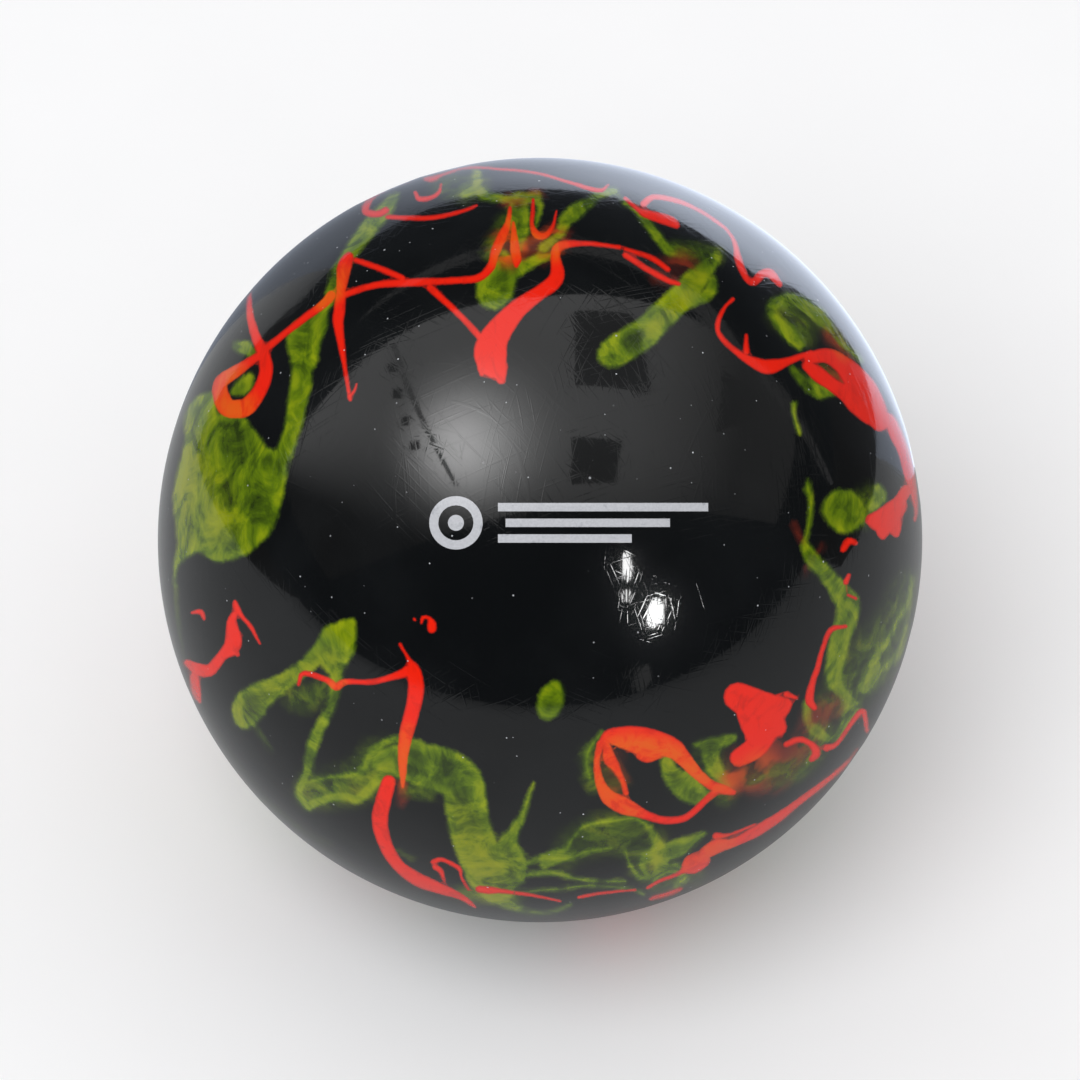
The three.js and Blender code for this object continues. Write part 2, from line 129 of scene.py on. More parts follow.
# ---------------------------------------------------------------- the drawing
# Streaks are brush strokes in the view square to the printed side: (across, up, half width)
# at each point, in hundredths of the ball's outline radius.
RED_STROKES = [
    # Rope and loop at the upper left, and the strand that leaves it.
    [(-76, 65, 0.5), (-75.9, 59.1, 1), (-74.4, 53.4, 1.3), (-72.3, 48.5, 1.7), (-71.7, 43.8, 1.8),
     (-73.4, 39, 1.9), (-76.5, 35, 2.3), (-79.2, 34.3, 2.4), (-82, 34.8, 2.4), (-83.6, 38.3, 2.1),
     (-83.3, 41.5, 1.8), (-79.9, 43.9, 1.6), (-76, 46.6, 1.2), (-73.5, 48.2, 1.1)],
    [(-72.5, 49.5, 1.1), (-67.8, 53.2, 0.9), (-61.7, 58, 1), (-56.9, 61.5, 1.1), (-54.5, 64, 1.2)],
    # Long tapering vein with its hook.
    [(-50.1, 73.9, 1.5), (-51.2, 71.3, 1.9), (-51.9, 66.1, 1.3), (-52.5, 60, 1.5), (-52.8, 56.9, 1.4),
     (-51.9, 50.4, 0.9), (-51, 44.7, 0.6), (-49.7, 36.8, 0.6)],
    [(-49.9, 37.5, 0.6), (-48.6, 39, 0.4), (-48, 40.8, 0.3)],
    # Strands between the tapering vein and the drip.
    [(-51.9, 64, 0.9), (-42.9, 66.7, 0.9), (-33, 67.4, 1.1), (-24, 67.8, 0.9), (-16.5, 68.5, 1),
     (-13, 71.3, 1.1), (-11.7, 75.5, 1.2), (-9.8, 79.5, 1.3), (-8.4, 83, 0.8), (-7.8, 87, 0.4)],
    [(-48.4, 73.3, 0.7), (-41.6, 70.9, 0.8), (-36, 68.5, 0.9)],
    [(-28.8, 66.1, 1), (-20.9, 58.7, 0.8), (-15.2, 52.5, 1)],
    # Drip that swells and forks at its end.
    [(20.8, 76.6, 0.6), (13.6, 77.5, 0.6), (7.5, 77.4, 1), (4.8, 76.6, 1.2), (4, 74.4, 1.2),
     (4.6, 69.6, 1.9), (3.1, 67, 2), (0, 64.8, 1.9), (-6.5, 59.8, 2.6), (-11.3, 53.9, 3.6),
     (-12.6, 51.2, 4), (-13, 48.6, 4.4), (-12.2, 45.6, 3.4)],
    [(-10.8, 45, 2.4), (-10.2, 42, 1.3)],
    [(-14.8, 46, 2), (-15.2, 43.5, 0.8)],
    [(-7, 83, 0.4), (-6.8, 79.5, 0.9), (-6.5, 76, 1.3), (-6.1, 73.4, 1.3), (-6.2, 71.8, 0.7)],
    [(-1.8, 89, 0.4), (-1.9, 86, 0.5), (-2.1, 82.4, 0.6), (-0.8, 79.9, 1), (1.4, 79.7, 0.9), (3.3, 82, 0.5),
     (4.3, 86, 0.3)],
    # Fine strands along the top edge.
    [(-32.7, 91, 0.5), (-31.5, 89.2, 0.7), (-28.3, 89.7, 0.6), (-26.4, 91, 0.5), (-25.9, 93.1, 0.3)],
    [(-30, 94.5, 0.6), (-28, 94.5, 0.9), (-25.7, 95.5, 0.5), (-19.2, 97.4, 0.4), (-10, 97, 0.4),
     (-0.8, 96, 0.4), (7.9, 93.5, 0.5), (15.3, 91.5, 0.6), (17.9, 92.9, 0.3)],
    [(-39.9, 84.5, 0.6), (-30, 84.2, 0.7), (-24.8, 84.9, 0.6), (-19.2, 86.4, 0.5), (-16.5, 87.5, 0.3)],
    [(-40.3, 86.2, 1), (-42.5, 85.3, 0.9), (-45.6, 86, 1), (-44.9, 88.6, 1), (-43, 90.3, 0.6),
     (-39.9, 91.8, 0.3), (-33.3, 94.2, 0.3)],
    # Strand and hook along the upper right edge.
    [(22.3, 89.4, 0.5), (25.8, 86.4, 0.7), (28, 85.3, 1.2), (34.3, 83.3, 1.4), (35.8, 82.2, 0.8)],
    [(27.1, 87.9, 1), (29.7, 89.7, 0.8), (35.6, 88.8, 0.7), (41.7, 86.2, 0.5), (47, 82.7, 0.5),
     (49.1, 80.9, 0.5), (50.9, 77.9, 0.6), (52, 73.1, 1), (54, 68.5, 0.9), (56, 67.6, 1.1),
     (58.1, 69.6, 1.1), (60.4, 69.6, 1.3), (62.7, 66.9, 0.8)],
    # Twin strand on the upper right.
    [(22.3, 76.1, 0.5), (28.9, 73.9, 0.7), (33.5, 70.8, 0.7)],
    [(22.3, 74.6, 0.8), (28, 70.9, 0.8), (33.2, 68, 0.8), (36.3, 67, 0.6)],
    # Open loop on the right.
    [(50.5, 63, 0.5), (48.3, 60.8, 0.5), (46.5, 56.5, 0.7), (47.4, 53, 0.7), (52.2, 48.6, 0.9),
     (57.4, 45.8, 1.7), (60.5, 45.4, 1.9), (65.3, 46.9, 1), (71, 49.1, 0.7)],
    [(54, 53.6, 0.4), (53.9, 51.2, 0.7), (54, 49.1, 0.9)],
    # Broad band at the right edge, and its tail.
    [(70.5, 47.6, 1.6), (75, 48.2, 2), (79, 46, 2.4), (82, 42.8, 3.2), (84.6, 39, 3.8), (87, 34.4, 3.6),
     (89, 31, 2.6)],
    [(89, 32, 1.6), (91.5, 31.4, 1.6), (93.2, 27.5, 1.8), (95, 23.5, 1.6), (96.6, 17.5, 1.6),
     (97.6, 13.5, 1.2), (98.4, 7.8, 0.6), (98, 5.2, 0.4)],
    [(70, 45.6, 1.5), (73, 43.2, 2), (76.5, 40.6, 1.8), (80, 38.4, 2.2), (83, 35.5, 2.6), (86, 32.2, 2)],
    [(95.9, 13, 1.6), (94.1, 10.4, 1.6), (91.5, 7.8, 2), (88.9, 6.5, 1.6), (86.3, 5.6, 1.1)],
    [(86, 5, 0.9), (89, 4.8, 2.6), (92, 6.3, 2.6), (94, 9, 2.2)],
    [(89.7, 3, 2.4), (89.7, 0.8, 0.8)],
    [(92.5, 4, 2.4), (93.2, 1.6, 1)],
    # Veins at the left edge.
    [(-91, -19, 0.4), (-88.8, -18.8, 0.7), (-87.9, -20.6, 0.4)],
    [(-79.8, -16.2, 0.6), (-79.4, -17.9, 1), (-77.9, -20.1, 0.6), (-75.7, -22.7, 0.6),
     (-73.3, -27.1, 0.3)],
    [(-79.8, -19.3, 0.9), (-80.7, -21.4, 1.3), (-80.2, -25.5, 2.2), (-80.7, -28, 2.2), (-83.1, -30.2, 1.4),
     (-86.2, -33.9, 1.6), (-89.2, -33.9, 1.7), (-92.3, -32.2, 1)],
    [(-90.5, -35.6, 1.3), (-89.9, -40, 1.3), (-89, -42.2, 0.6)],
    [(-79.6, -29.3, 1), (-79.2, -29.9, 0.7)],
    # Small blot with a tail, left of the middle.
    [(-32.9, -20.7, 0.4), (-32.7, -20.9, 0.4)],
    [(-31, -21.6, 0.4), (-30.6, -20.3, 0.6), (-29, -20.4, 0.5), (-28.3, -22, 1.2), (-28.3, -23.2, 1.2)],
    # Vein at the lower left of the middle, and its long cross strand.
    [(-36.6, -27.3, 0.4), (-34.2, -31.5, 0.6), (-33.1, -34.3, 1.9), (-32.4, -38.5, 2.1), (-33.1, -43.5, 2),
     (-34.7, -49.6, 1.9), (-35.8, -55.7, 1.4), (-35.9, -60.5, 1), (-35.9, -64.5, 0.5)],
    [(-63.2, -37.8, 0.4), (-61.8, -34.9, 0.7), (-55.6, -36.7, 0.8), (-53.4, -38.5, 1), (-50.8, -37.1, 0.8),
     (-43.8, -37.1, 0.7), (-36.8, -35.2, 1.1), (-34.7, -34.3, 1.5)],
    # Hanging vein at the lower left, with its small loop.
    [(-39.6, -63.3, 1.9), (-40.9, -68, 2.1), (-41.9, -73.6, 2.1), (-40.3, -80, 1.8), (-37, -85.2, 1.6),
     (-32, -88.8, 1.8), (-26.7, -91, 1.5), (-20.6, -93.4, 0.9), (-17, -96, 0.4)],
    [(-27.9, -84.3, 0.8), (-25.7, -83.6, 0.6), (-21.3, -85.8, 0.6), (-20.5, -88.4, 0.4),
     (-18.7, -91.5, 0.3)],
    [(-27.5, -85.4, 0.8), (-25.9, -86.7, 0.7), (-25, -89.3, 0.3)],
    # Fine strands along the bottom edge.
    [(-16.1, -91.3, 0.9), (-13, -91.7, 1), (-9.6, -91.9, 0.6), (-1.3, -93.1, 0.4), (5.3, -94.5, 0.3)],
    [(10.1, -93.5, 0.5), (16.2, -92.4, 0.4), (24.9, -91.5, 0.3)],
    [(28.2, -91, 0.5), (31.5, -89.1, 0.5), (35.6, -87.6, 0.5), (37.8, -86.3, 0.9), (40, -84.8, 2.6),
     (42.6, -83.8, 2)],
    [(28.9, -93.9, 0.5), (33.5, -92.6, 0.7), (36.9, -91.3, 0.5)],
    # Mushroom-shaped patch at the lower right, with its foot and its side strands.
    [(51.8, -41, 3.8), (56, -43, 4.3), (61.5, -44, 3.4), (64.5, -42.8, 1.6)],
    [(55, -43.5, 4.2), (57.5, -47.5, 5.2), (57.5, -52, 3.6), (56, -54.5, 3), (52, -57, 2.4)],
    [(60, -46, 3.6), (62, -49, 2.6)],
    [(64.4, -40.4, 0.9), (67, -41.3, 0.5)],
    [(64.4, -53.5, 0.8), (67.9, -52.2, 0.8), (71, -53.5, 0.9), (72.3, -55.7, 1.2), (71, -57.4, 0.8)],
    [(74.9, -54.4, 1), (77.5, -53.5, 0.6), (80.1, -50, 0.6), (84.3, -44.8, 0.8), (85.6, -50, 0.6)],
    # Thin strand and dots on the right.
    [(80, -22.6, 0.5), (76, -23.6, 0.7), (73.8, -28.9, 0.6), (72.5, -33.9, 0.8), (71.4, -36.9, 0.8),
     (70.5, -41.7, 1.2), (71.8, -43.9, 0.8)],
    [(79.3, -2.5, 0.8), (80.8, -0.3, 1), (82.6, -0.8, 0.7)],
    [(80, -11, 0.8), (80.8, -9.2, 0.5)],
    [(80.6, -14.4, 0.4), (82.6, -15.3, 0.4)],
    # Loop beside the mushroom: its broad top, its left side and tail, and the strand inside.
    [(16.5, -53, 1.2), (18.4, -51.4, 2), (22.5, -51.7, 3), (27, -52.7, 3.8), (31.4, -53.4, 3.2),
     (35, -54.6, 2.6), (37.8, -57.4, 2), (41, -61, 1.5), (44.6, -64, 1.3), (48.2, -65.3, 1.3),
     (50.6, -66, 0.8)],
    [(26, -56.4, 1), (28, -57, 1.3), (31, -56.2, 1)],
    [(15.9, -53.4, 1.1), (15, -57, 0.8), (15, -60.2, 0.9), (16, -64.2, 1.3), (18.1, -67.4, 2),
     (21.9, -69.5, 2.3), (25.1, -70.8, 1.6), (28.9, -72.4, 1.1), (33.3, -73.4, 1), (37.7, -72.8, 0.9),
     (40.9, -70.5, 0.9), (44, -67.4, 0.9), (46.6, -65.4, 0.9)],
    [(17.5, -54, 1.1), (18.1, -57, 1.7), (19.8, -59.6, 1.2), (21.6, -63, 0.7), (22.5, -66.2, 0.8)],
    # Long strand along the lower right edge, with a finer one above it.
    [(83.2, -54.8, 0.5), (81.4, -57.4, 0.6), (74.9, -63.1, 0.8), (66.2, -69.7, 1), (62.7, -72.3, 1.3),
     (56.6, -76.2, 1.5), (50.5, -79.2, 1.2), (46.5, -80, 1.9), (43.2, -82, 1.6)],
    [(56.1, -74.5, 0.4), (49.6, -77.1, 0.4), (46.1, -77.5, 1)],
]

GREEN_STROKES = [
    # Broad patch at the left edge.
    [(-85.7, 38, 1.2), (-88.5, 33, 4.3), (-88, 24, 5.4), (-89.5, 12, 6.6), (-89, 4, 6.4), (-92, -1, 3),
     (-95.3, -7, 0.7), (-95.5, -12, 0.4)],
    [(-82, 30, 3.6), (-79, 24, 6.6), (-77, 16, 8.4), (-77, 9, 9), (-80, 3, 7.6), (-84, -1, 5)],
    [(-83, 31, 2.4), (-78.4, 30.2, 2.2), (-77, 27, 2.4), (-75, 22, 3)],
    [(-74, 21.4, 3), (-69.5, 20, 3.4), (-70, 14, 3.4), (-72, 8, 3.6)],
    # Arm that the patch reaches up with, and the scraps inside the red loop.
    [(-54.7, 62.4, 0.8), (-56.9, 59.5, 1.6), (-58.7, 56, 3.2), (-61.7, 53, 4.6), (-61.7, 48.6, 4),
     (-62.2, 44.7, 2.8), (-62.6, 40.3, 2.9), (-63.5, 36.4, 2.7), (-64.3, 31.4, 2.5), (-65.2, 27.9, 2.3),
     (-67, 22.5, 2.4)],
    [(-79.2, 50.8, 1.5), (-77.2, 50.4, 2.1), (-75.6, 49.2, 1.6)],
    [(-79.6, 38.8, 1.3), (-77.4, 40.4, 2.2), (-76, 42.6, 1.2)],
    # Diagonal band above the arm.
    [(-54.7, 64, 1.6), (-53, 69.4, 1.9), (-49.7, 75, 2), (-47.4, 78.4, 2.2), (-44.8, 81.8, 2.4),
     (-41.9, 84.8, 2.3), (-39.2, 88.4, 1.8), (-37.6, 90.1, 1)],
    # Band, columns and drip at the top.
    [(-19.6, 90.5, 1.2), (-16.5, 91.8, 1.5), (-14.4, 90.1, 1.6), (-9.6, 89.2, 1.2), (-5.6, 89.2, 1.4),
     (-0.8, 89.7, 1.6)],
    [(-16.5, 96.6, 1.3), (-16.5, 91.8, 1.5)],
    [(-5.6, 88.4, 2.6), (-5.6, 84.5, 3), (-5.2, 80.5, 2.5), (-5.4, 76.5, 1)],
    [(-1.6, 89.6, 1.4), (0, 87.5, 1), (-0.5, 84.5, 0.8), (-1.2, 82, 0.5)],
    [(-9.4, 75, 0.9), (-9, 71.6, 3), (-10.4, 68.3, 4.4), (-11.8, 65.6, 5), (-12.2, 64.6, 4.6)],
    [(-7, 70.6, 2.6), (-4.2, 71.7, 1.8), (0.5, 73.9, 1.2), (2.7, 74.4, 0.8)],
    # Strand that arches to the right, and the dim one beyond it.
    [(1, 76.5, 1.6), (5.3, 80, 1.2), (6.6, 83.5, 1.9), (9.6, 86.2, 2.1), (13.1, 88.3, 1.6),
     (15.3, 90.5, 1.5), (19.5, 91.4, 1.2)],
    [(22.3, 88.3, 0.9), (25.4, 86.2, 1), (28, 83.1, 1.3), (31.9, 77.9, 1.4), (34.2, 75.2, 1.6)],
    # Broad finger at the upper right, with a lobe on its side.
    [(46.1, 73.9, 1.4), (44.3, 72.2, 2.2), (42.2, 69.6, 2.8), (39.1, 66.1, 3.5), (36.1, 62.6, 3.6),
     (30.6, 57.4, 3.8), (27.1, 53.9, 4.1), (20.1, 49.5, 4.2), (18.6, 48.8, 3.8)],
    [(45.2, 68.3, 1.2), (44.6, 65.2, 1.8), (41.7, 63, 1.4), (38.7, 61.3, 0.8)],
    # Hook and bars on the right.
    [(60.6, 61.3, 1.5), (63.8, 62.8, 2), (67.9, 62, 2.3), (71.4, 60, 2.2), (74.1, 57.4, 1.9),
     (76.8, 54.6, 1.4), (80.3, 50.5, 1), (84.1, 46.8, 0.8)],
    [(60.3, 59.4, 1), (63, 56.4, 1.7), (65.8, 53.4, 2.1), (68, 51, 1.4)],
    [(66, 44.9, 0.9), (68, 42.4, 1.4), (70.6, 40, 1.8), (73.2, 38.8, 2), (75.6, 38.6, 1.6)],
    [(66.6, 35.5, 0.9), (66.4, 33.6, 0.7), (67, 30.5, 0.6), (67.9, 27.9, 0.5)],
    # Long strand down the right side.
    [(70.1, 16.1, 0.4), (70, 13.5, 1), (70.9, 10, 0.8), (70.1, 2.6, 0.6), (69.2, -0.5, 0.8),
     (70.1, -3.1, 1.8), (72.3, -6.2, 2.2), (76.6, -11, 2.4), (78.8, -14, 3), (80.6, -17.1, 3.3),
     (80, -21.5, 3), (78.4, -26.5, 2.8), (77.3, -32.2, 2.6), (77, -37, 2.3), (79.4, -40.4, 1.8),
     (81.9, -43, 1.6)],
    # Disc, its triangle, and the strands at the right edge.
    [(79.4, 8, 5.6), (80, 7.2, 5.6)],
    [(88.4, 13.5, 1.4), (88.9, 11.3, 2), (86.7, 8.7, 1.6)],
    [(97.1, -9.7, 0.8), (96.3, -16.2, 1), (93.2, -21.9, 1), (90.6, -27.1, 1.2), (87.6, -31.5, 1.6),
     (87.6, -34.7, 2.2), (84.9, -38.7, 2)],
    [(95.9, -22.7, 1), (94.1, -29.3, 1.2), (89.7, -33.9, 1.2)],
    # Leaf at the left, with its arm, its stalk and its foot.
    [(-49.2, -21.4, 1.1), (-51.5, -24.5, 3.5), (-53, -28, 4.7), (-54, -31, 3.9), (-53.2, -34.8, 2),
     (-54.2, -42, 1.5), (-55.6, -45.5, 1.5), (-58.8, -51.6, 1.7), (-60.2, -57, 1.5), (-60.8, -60, 1.3),
     (-61.9, -63, 1.3), (-63, -66.2, 1.2), (-60.8, -69.6, 1.4), (-59.1, -68.8, 1.3), (-55.2, -67.5, 1.3),
     (-50.8, -67, 1.3), (-47.3, -67.5, 1.5), (-42.5, -62.7, 1.6), (-38, -60, 2)],
    [(-54.5, -24.4, 2.6), (-56, -28, 3), (-60, -31.8, 2.4), (-64.5, -35.4, 2.3), (-69.5, -38.6, 2.9),
     (-73.6, -41.2, 3.9), (-76, -43.6, 4.6), (-77, -46, 3.6)],
    [(-61, -63.5, 0.8), (-55.6, -62.2, 0.8), (-47.3, -60.9, 1), (-43.8, -55.3, 1.2), (-38.1, -52.2, 1.2),
     (-32, -54, 2)],
    # Plate and column at the lower middle.
    [(-41.2, -58, 3.2), (-35, -57.9, 5.2), (-28, -59.5, 6), (-22.4, -61.6, 5.8), (-20, -65, 5.4)],
    [(-34.2, -52.2, 1.2), (-34, -54, 2)],
    [(-20, -64, 5.6), (-19.3, -70, 5.7), (-18.2, -76, 5.6), (-16, -82, 5.8), (-13.5, -87.5, 5.6),
     (-11, -91, 4.6)],
    # Spike, and the strands that run right from the column along the lower edge.
    [(-1.7, -63.6, 0.4), (-2.8, -66.6, 0.7), (-3.9, -70.1, 0.9), (-5.2, -73.2, 1.2), (-6.9, -76.6, 1.7),
     (-8.6, -80.2, 3), (-7.3, -84.5, 4), (-7, -88, 3.4)],
    [(-11.3, -94.1, 1.4), (-7.8, -95.4, 1.6), (-3.4, -97.3, 0.9), (3.1, -97.4, 0.7), (7.9, -95.4, 0.7)],
    [(-5.6, -87.6, 1), (3.1, -87.1, 0.9), (12.3, -89.1, 0.7), (22.3, -89.3, 0.5)],
    [(-4.3, -91.9, 0.5), (5.3, -91.3, 0.5), (13.1, -90.4, 0.6), (23.6, -91.3, 0.5), (27.1, -92.8, 0.5)],
    [(-3.9, -84.5, 0.8), (0.9, -83.2, 1.2), (6.6, -81, 1), (8.3, -78.4, 0.8), (10.5, -75.8, 0.8),
     (13.6, -74.3, 0.7), (21, -73.2, 0.7), (25, -72.9, 0.7), (28.4, -75.2, 1), (30.2, -78.6, 1.5),
     (31.4, -82, 2.4), (31.6, -86, 2), (29.8, -88.6, 1.2)],
    [(1, -85, 1.4), (5.3, -83.2, 1.4), (9.6, -82.3, 1), (14, -81.2, 0.7), (18.6, -80.6, 0.4)],
    [(22.4, -81.6, 0.4), (23.6, -85, 0.7), (26, -88, 0.9), (29.5, -88.8, 1)],
    [(32, -82, 2.4), (35.6, -81, 2.7), (38.7, -79.3, 2), (43, -76.8, 0.7)],
    [(31, -82.3, 2.4), (27, -83.8, 1.3), (27.1, -86.3, 1), (29.3, -88.2, 0.9), (33.2, -86.3, 1.4),
     (36, -86, 1.6), (37.4, -88.4, 1.4), (35.6, -90.2, 1)],
    # Drop under the print.
    [(4, -38.2, 1.7), (3.2, -41, 3.4), (2.4, -43.6, 3.3), (1.8, -44.6, 2.6)],
    # Folds round the loop, inside it and behind the mushroom.
    [(16.2, -50.3, 0.7), (12.9, -54.8, 0.8), (12.2, -58.8, 0.8), (13.1, -62.2, 0.5)],
    [(33, -58, 1.6), (34.6, -61.5, 2.6), (38, -64.3, 3.8), (41.4, -66.5, 2.8), (44, -66.8, 1.2)],
    [(40.6, -53.6, 0.9), (45, -53.4, 1.9), (50.4, -51.8, 1.3)],
    [(44.4, -54.6, 2.6), (45.2, -58.8, 2.3), (47.4, -62, 1.8), (49.2, -64.2, 1.1)],
    [(69.7, -42.6, 1), (70.1, -45.7, 1.3), (70.5, -48.3, 1.3), (72.3, -50, 1.9), (75.8, -52.2, 1.2),
     (78.4, -50.9, 1.4), (80.1, -47.4, 1.7), (81.9, -43.5, 2)],
    [(71.4, -54.8, 0.8), (69.7, -58.8, 0.7)],
]

# Thin clouds of colour with no edge: (strength, points).
RED_HAZE = [
    (0.5, [(33, 70, 2.6), (37, 71.5, 3)]),
    (0.9, [(-10.4, 78, 1.8), (-9, 75.4, 2.6), (-7.4, 73.6, 1.8)]),
    (0.9, [(-5, 75, 1.4), (0, 76.4, 2.4), (4, 78.4, 2.2), (4.6, 81, 1.4)]),
    (0.5, [(-8.6, 88.6, 1.2), (-5, 89.4, 1.4), (-1, 90.4, 1.2)]),
    (0.9, [(51, -58.5, 2.6), (49.6, -61, 2.2), (50.5, -63.5, 2)]),
    (0.75, [(54.5, -62.4, 2.6), (60, -62.6, 2.4), (62, -60, 3), (60, -56, 3.2)]),
    (0.5, [(66, -56, 2.6), (70, -52, 2.2), (73, -46, 2.8), (76, -44, 2.6)]),
    (0.45, [(60, 70, 1.4), (63, 69.4, 1)]),
    (0.6, [(74, 44.6, 1.6), (79, 41.6, 1.6)]),
    (0.35, [(76, 54, 1.6), (81, 48, 1.4)]),
    (0.5, [(17.4, -58, 2.2), (19, -63, 2.6)]),
    (0.4, [(-36, -64, 1), (-36.4, -69, 0.8)]),
    (0.3, [(66.6, 4, 0.5), (69, -1, 0.4)]),
    (0.3, [(69, -8.4, 0.6), (74, -1.4, 0.5)]),
]
GREEN_HAZE = [
    (0.7, [(36, 76, 1.6), (41.7, 74.8, 2.2), (45.7, 74.8, 1.5)]),
    (0.6, [(64, 59.4, 3), (68, 56, 3.2), (69.2, 53.4, 1.6)]),
    (0.6, [(70, 43, 1.8), (73, 41, 1.8)]),
    (0.5, [(76, 44, 2.6), (79, 41, 2)]),
    (0.6, [(-12.6, 75.5, 1.8), (-10.6, 80, 1.6), (-9, 84, 1)]),
    (0.55, [(-25.5, 93, 2.2), (-20, 92, 2.6), (-16.4, 93, 2.4)]),
    (0.8, [(-59, -65.3, 3), (-52, -64.6, 3.4), (-46, -62.4, 4), (-42, -58, 4)]),
    (0.55, [(-67, -39.4, 1.8), (-62.5, -41.6, 2.6), (-58, -40, 2.2), (-55.5, -38, 1.2)]),
    (0.4, [(-75, -48.4, 0.8), (-72.8, -51.5, 0.5), (-70.4, -55, 0.3)]),
    (0.3, [(-95.4, -12, 0.5), (-94.8, -20, 0.5), (-93.4, -30, 0.3)]),
    (0.6, [(-34.4, -65, 1.6), (-29, -66, 1.6)]),
    (0.3, [(-72, -68, 0.5), (-64, -74.5, 0.5), (-55, -79.7, 0.5)]),
    (0.4, [(-37.3, -81, 0.5), (-33, -83.6, 0.5)]),
    (0.7, [(-22, -92.5, 1.2), (-15, -93, 1.8), (-6, -93.5, 1.6)]),
    (0.65, [(7, -82.4, 1.8), (10.5, -79.4, 3), (16, -77.3, 3.6), (22, -77.3, 4), (27, -79.6, 4),
     (29, -84.6, 3.4), (30, -88, 2.2)]),
    (0.5, [(34, -88, 3), (40, -87.6, 2)]),
    (0.5, [(17, -59, 2), (19.4, -63.6, 2.2)]),
    (0.7, [(13, -55, 1.4), (12.8, -60, 1.5), (14, -64.6, 1.2)]),
    (0.6, [(43.9, -56.6, 3), (48.3, -66.5, 1.6)]),
    (0.6, [(56, -62, 2), (64, -61, 2.6), (70, -57, 2.4), (74, -50, 2.4)]),
    (0.7, [(97, -11, 1.4), (95, -18, 3), (91.5, -25, 4.4), (87, -32, 5), (82, -38, 4.6), (78, -42, 3)]),
    (0.5, [(85, 7, 2.6), (86, 11, 2.4)]),
]
# Where the green runs to a bright yellow-green.
YELLOW = [
    (0.8, [(-22, -71, 1.6), (-18, -79, 4.2), (-14, -87, 5), (-12, -92, 3)]),
    (0.6, [(-54, -36, 1.6), (-56, -32, 2.4), (-64, -35.6, 2), (-78, -45, 3)]),
    (0.7, [(-93, 30, 2), (-91, 20, 2.4), (-94, 8, 3), (-93, 0, 2)]),
    (0.5, [(-85, 14, 3), (-84, 4, 4)]),
    (0.6, [(43, 69, 1.4), (36, 61, 1.4), (28, 54, 1.4)]),
    (0.9, [(33.6, -58, 1.8), (36, -60, 1.6)]),
    (0.6, [(-16.4, 95, 1.4), (-16, 92, 1.4)]),
    (0.5, [(-50, -68, 1.6), (-44, -64, 2), (-40, -60, 1.6)]),
    (0.7, [(29, -76, 1.2), (31, -80, 1.4), (30, -86, 1.6)]),
    (0.5, [(45.4, -58.6, 1.4), (48, -63, 1.2)]),
]
# Where the two colours mix to orange.
ORANGE = [
    (1.0, [(-79, 44.4, 1.4), (-83.6, 41, 2), (-83.6, 36.6, 2), (-80, 34, 2.8), (-76, 35.6, 1.6)]),
    (1.0, [(-57, 62, 1.4), (-54, 65, 2), (-51, 70, 1.4)]),
    (1.0, [(-10, 74, 1.6), (-7, 78, 3), (-1, 78, 3.4), (4, 76.5, 1.8), (-8, 83, 1.6)]),
    (0.8, [(-54, -38.4, 1.6), (-52, -38, 1.4)]),
    (0.7, [(-34.7, -50, 1.6), (-36, -56, 1.8)]),
    (1.0, [(18.4, -53.6, 1.6), (25, -54, 2.6), (33, -55.6, 2.6), (38.5, -58.5, 2), (43, -63, 1.6)]),
    (0.7, [(17.6, -57, 2), (22, -65, 1.6)]),
    (0.6, [(46, -66, 2), (52, -62, 2.4), (58, -59, 3)]),
    (0.8, [(14.6, -55, 1.6), (14.6, -61, 1.8), (18, -67, 2.4), (24, -70.4, 2.4)]),
    (0.8, [(-35.4, -54, 1.6), (-36, -60, 1.4), (-36, -64, 1)]),
    (0.5, [(38, -84, 2), (44, -81, 2), (50, -79.4, 1.4)]),
    (0.6, [(74, 55, 1.6), (80, 48.6, 1.6)]),
]

# The printed mark: a ring and dot, with three lines trailing from them. Same units.
MARK_CENTRE = (-22.0, 4.5)
RING_OUTER = 7.0
RING_INNER = 4.6
DOT_RADIUS = 2.1
LINE_HALF_WIDTH = 1.1
MARK_LINES = {
    "print_line_top": (-11.0, 44.0, 8.6),
    "print_line_middle": (-9.0, 34.0, 4.5),
    "print_line_bottom": (-11.0, 24.0, 0.4),
}
MARK_STEP = 1.2  # spacing of the points along the mark's edges

# ---------------------------------------------------------------- the drawing on the ball
ELEVATION = math.radians(PRINT_ELEVATION)
FACING = np.array([0.0, -math.cos(ELEVATION), math.sin(ELEVATION)])
UPWARD = np.array([0.0, math.sin(ELEVATION), math.cos(ELEVATION)])
ACROSS = np.array([1.0, 0.0, 0.0])
DISTANCE = VIEW_DISTANCE / BALL_RADIUS
OUTLINE_TILT = math.acos(1.0 / DISTANCE)
OUTLINE_SLOPE = 1.0 / math.sqrt(DISTANCE**2 - 1.0)
REAR_STRETCH = (math.pi - OUTLINE_TILT) / OUTLINE_TILT


def angles_of(drawn, rear):
    """Tilt away from the printed side and heading round it, of places in the drawing. The rear
    side carries the same drawing, mirrored through the outline and twisted away from it."""
    seen = np.minimum(np.hypot(drawn[:, 0], drawn[:, 1]), OUTLINE_LIMIT) / 100.0
    slope2 = (seen * OUTLINE_SLOPE) ** 2
    root = np.sqrt(np.maximum(1.0 + slope2 - slope2 * DISTANCE**2, 0.0))
    tilt = np.arccos((slope2 * DISTANCE + root) / (1.0 + slope2))
    heading = np.arctan2(drawn[:, 1], drawn[:, 0])
    if not rear:
        return tilt, heading
    tilt = math.pi - tilt * REAR_STRETCH
    return tilt, heading + REAR_TWIST * (tilt - OUTLINE_TILT)


def unit(vectors):
    return vectors / np.linalg.norm(vectors, axis=1)[:, None]


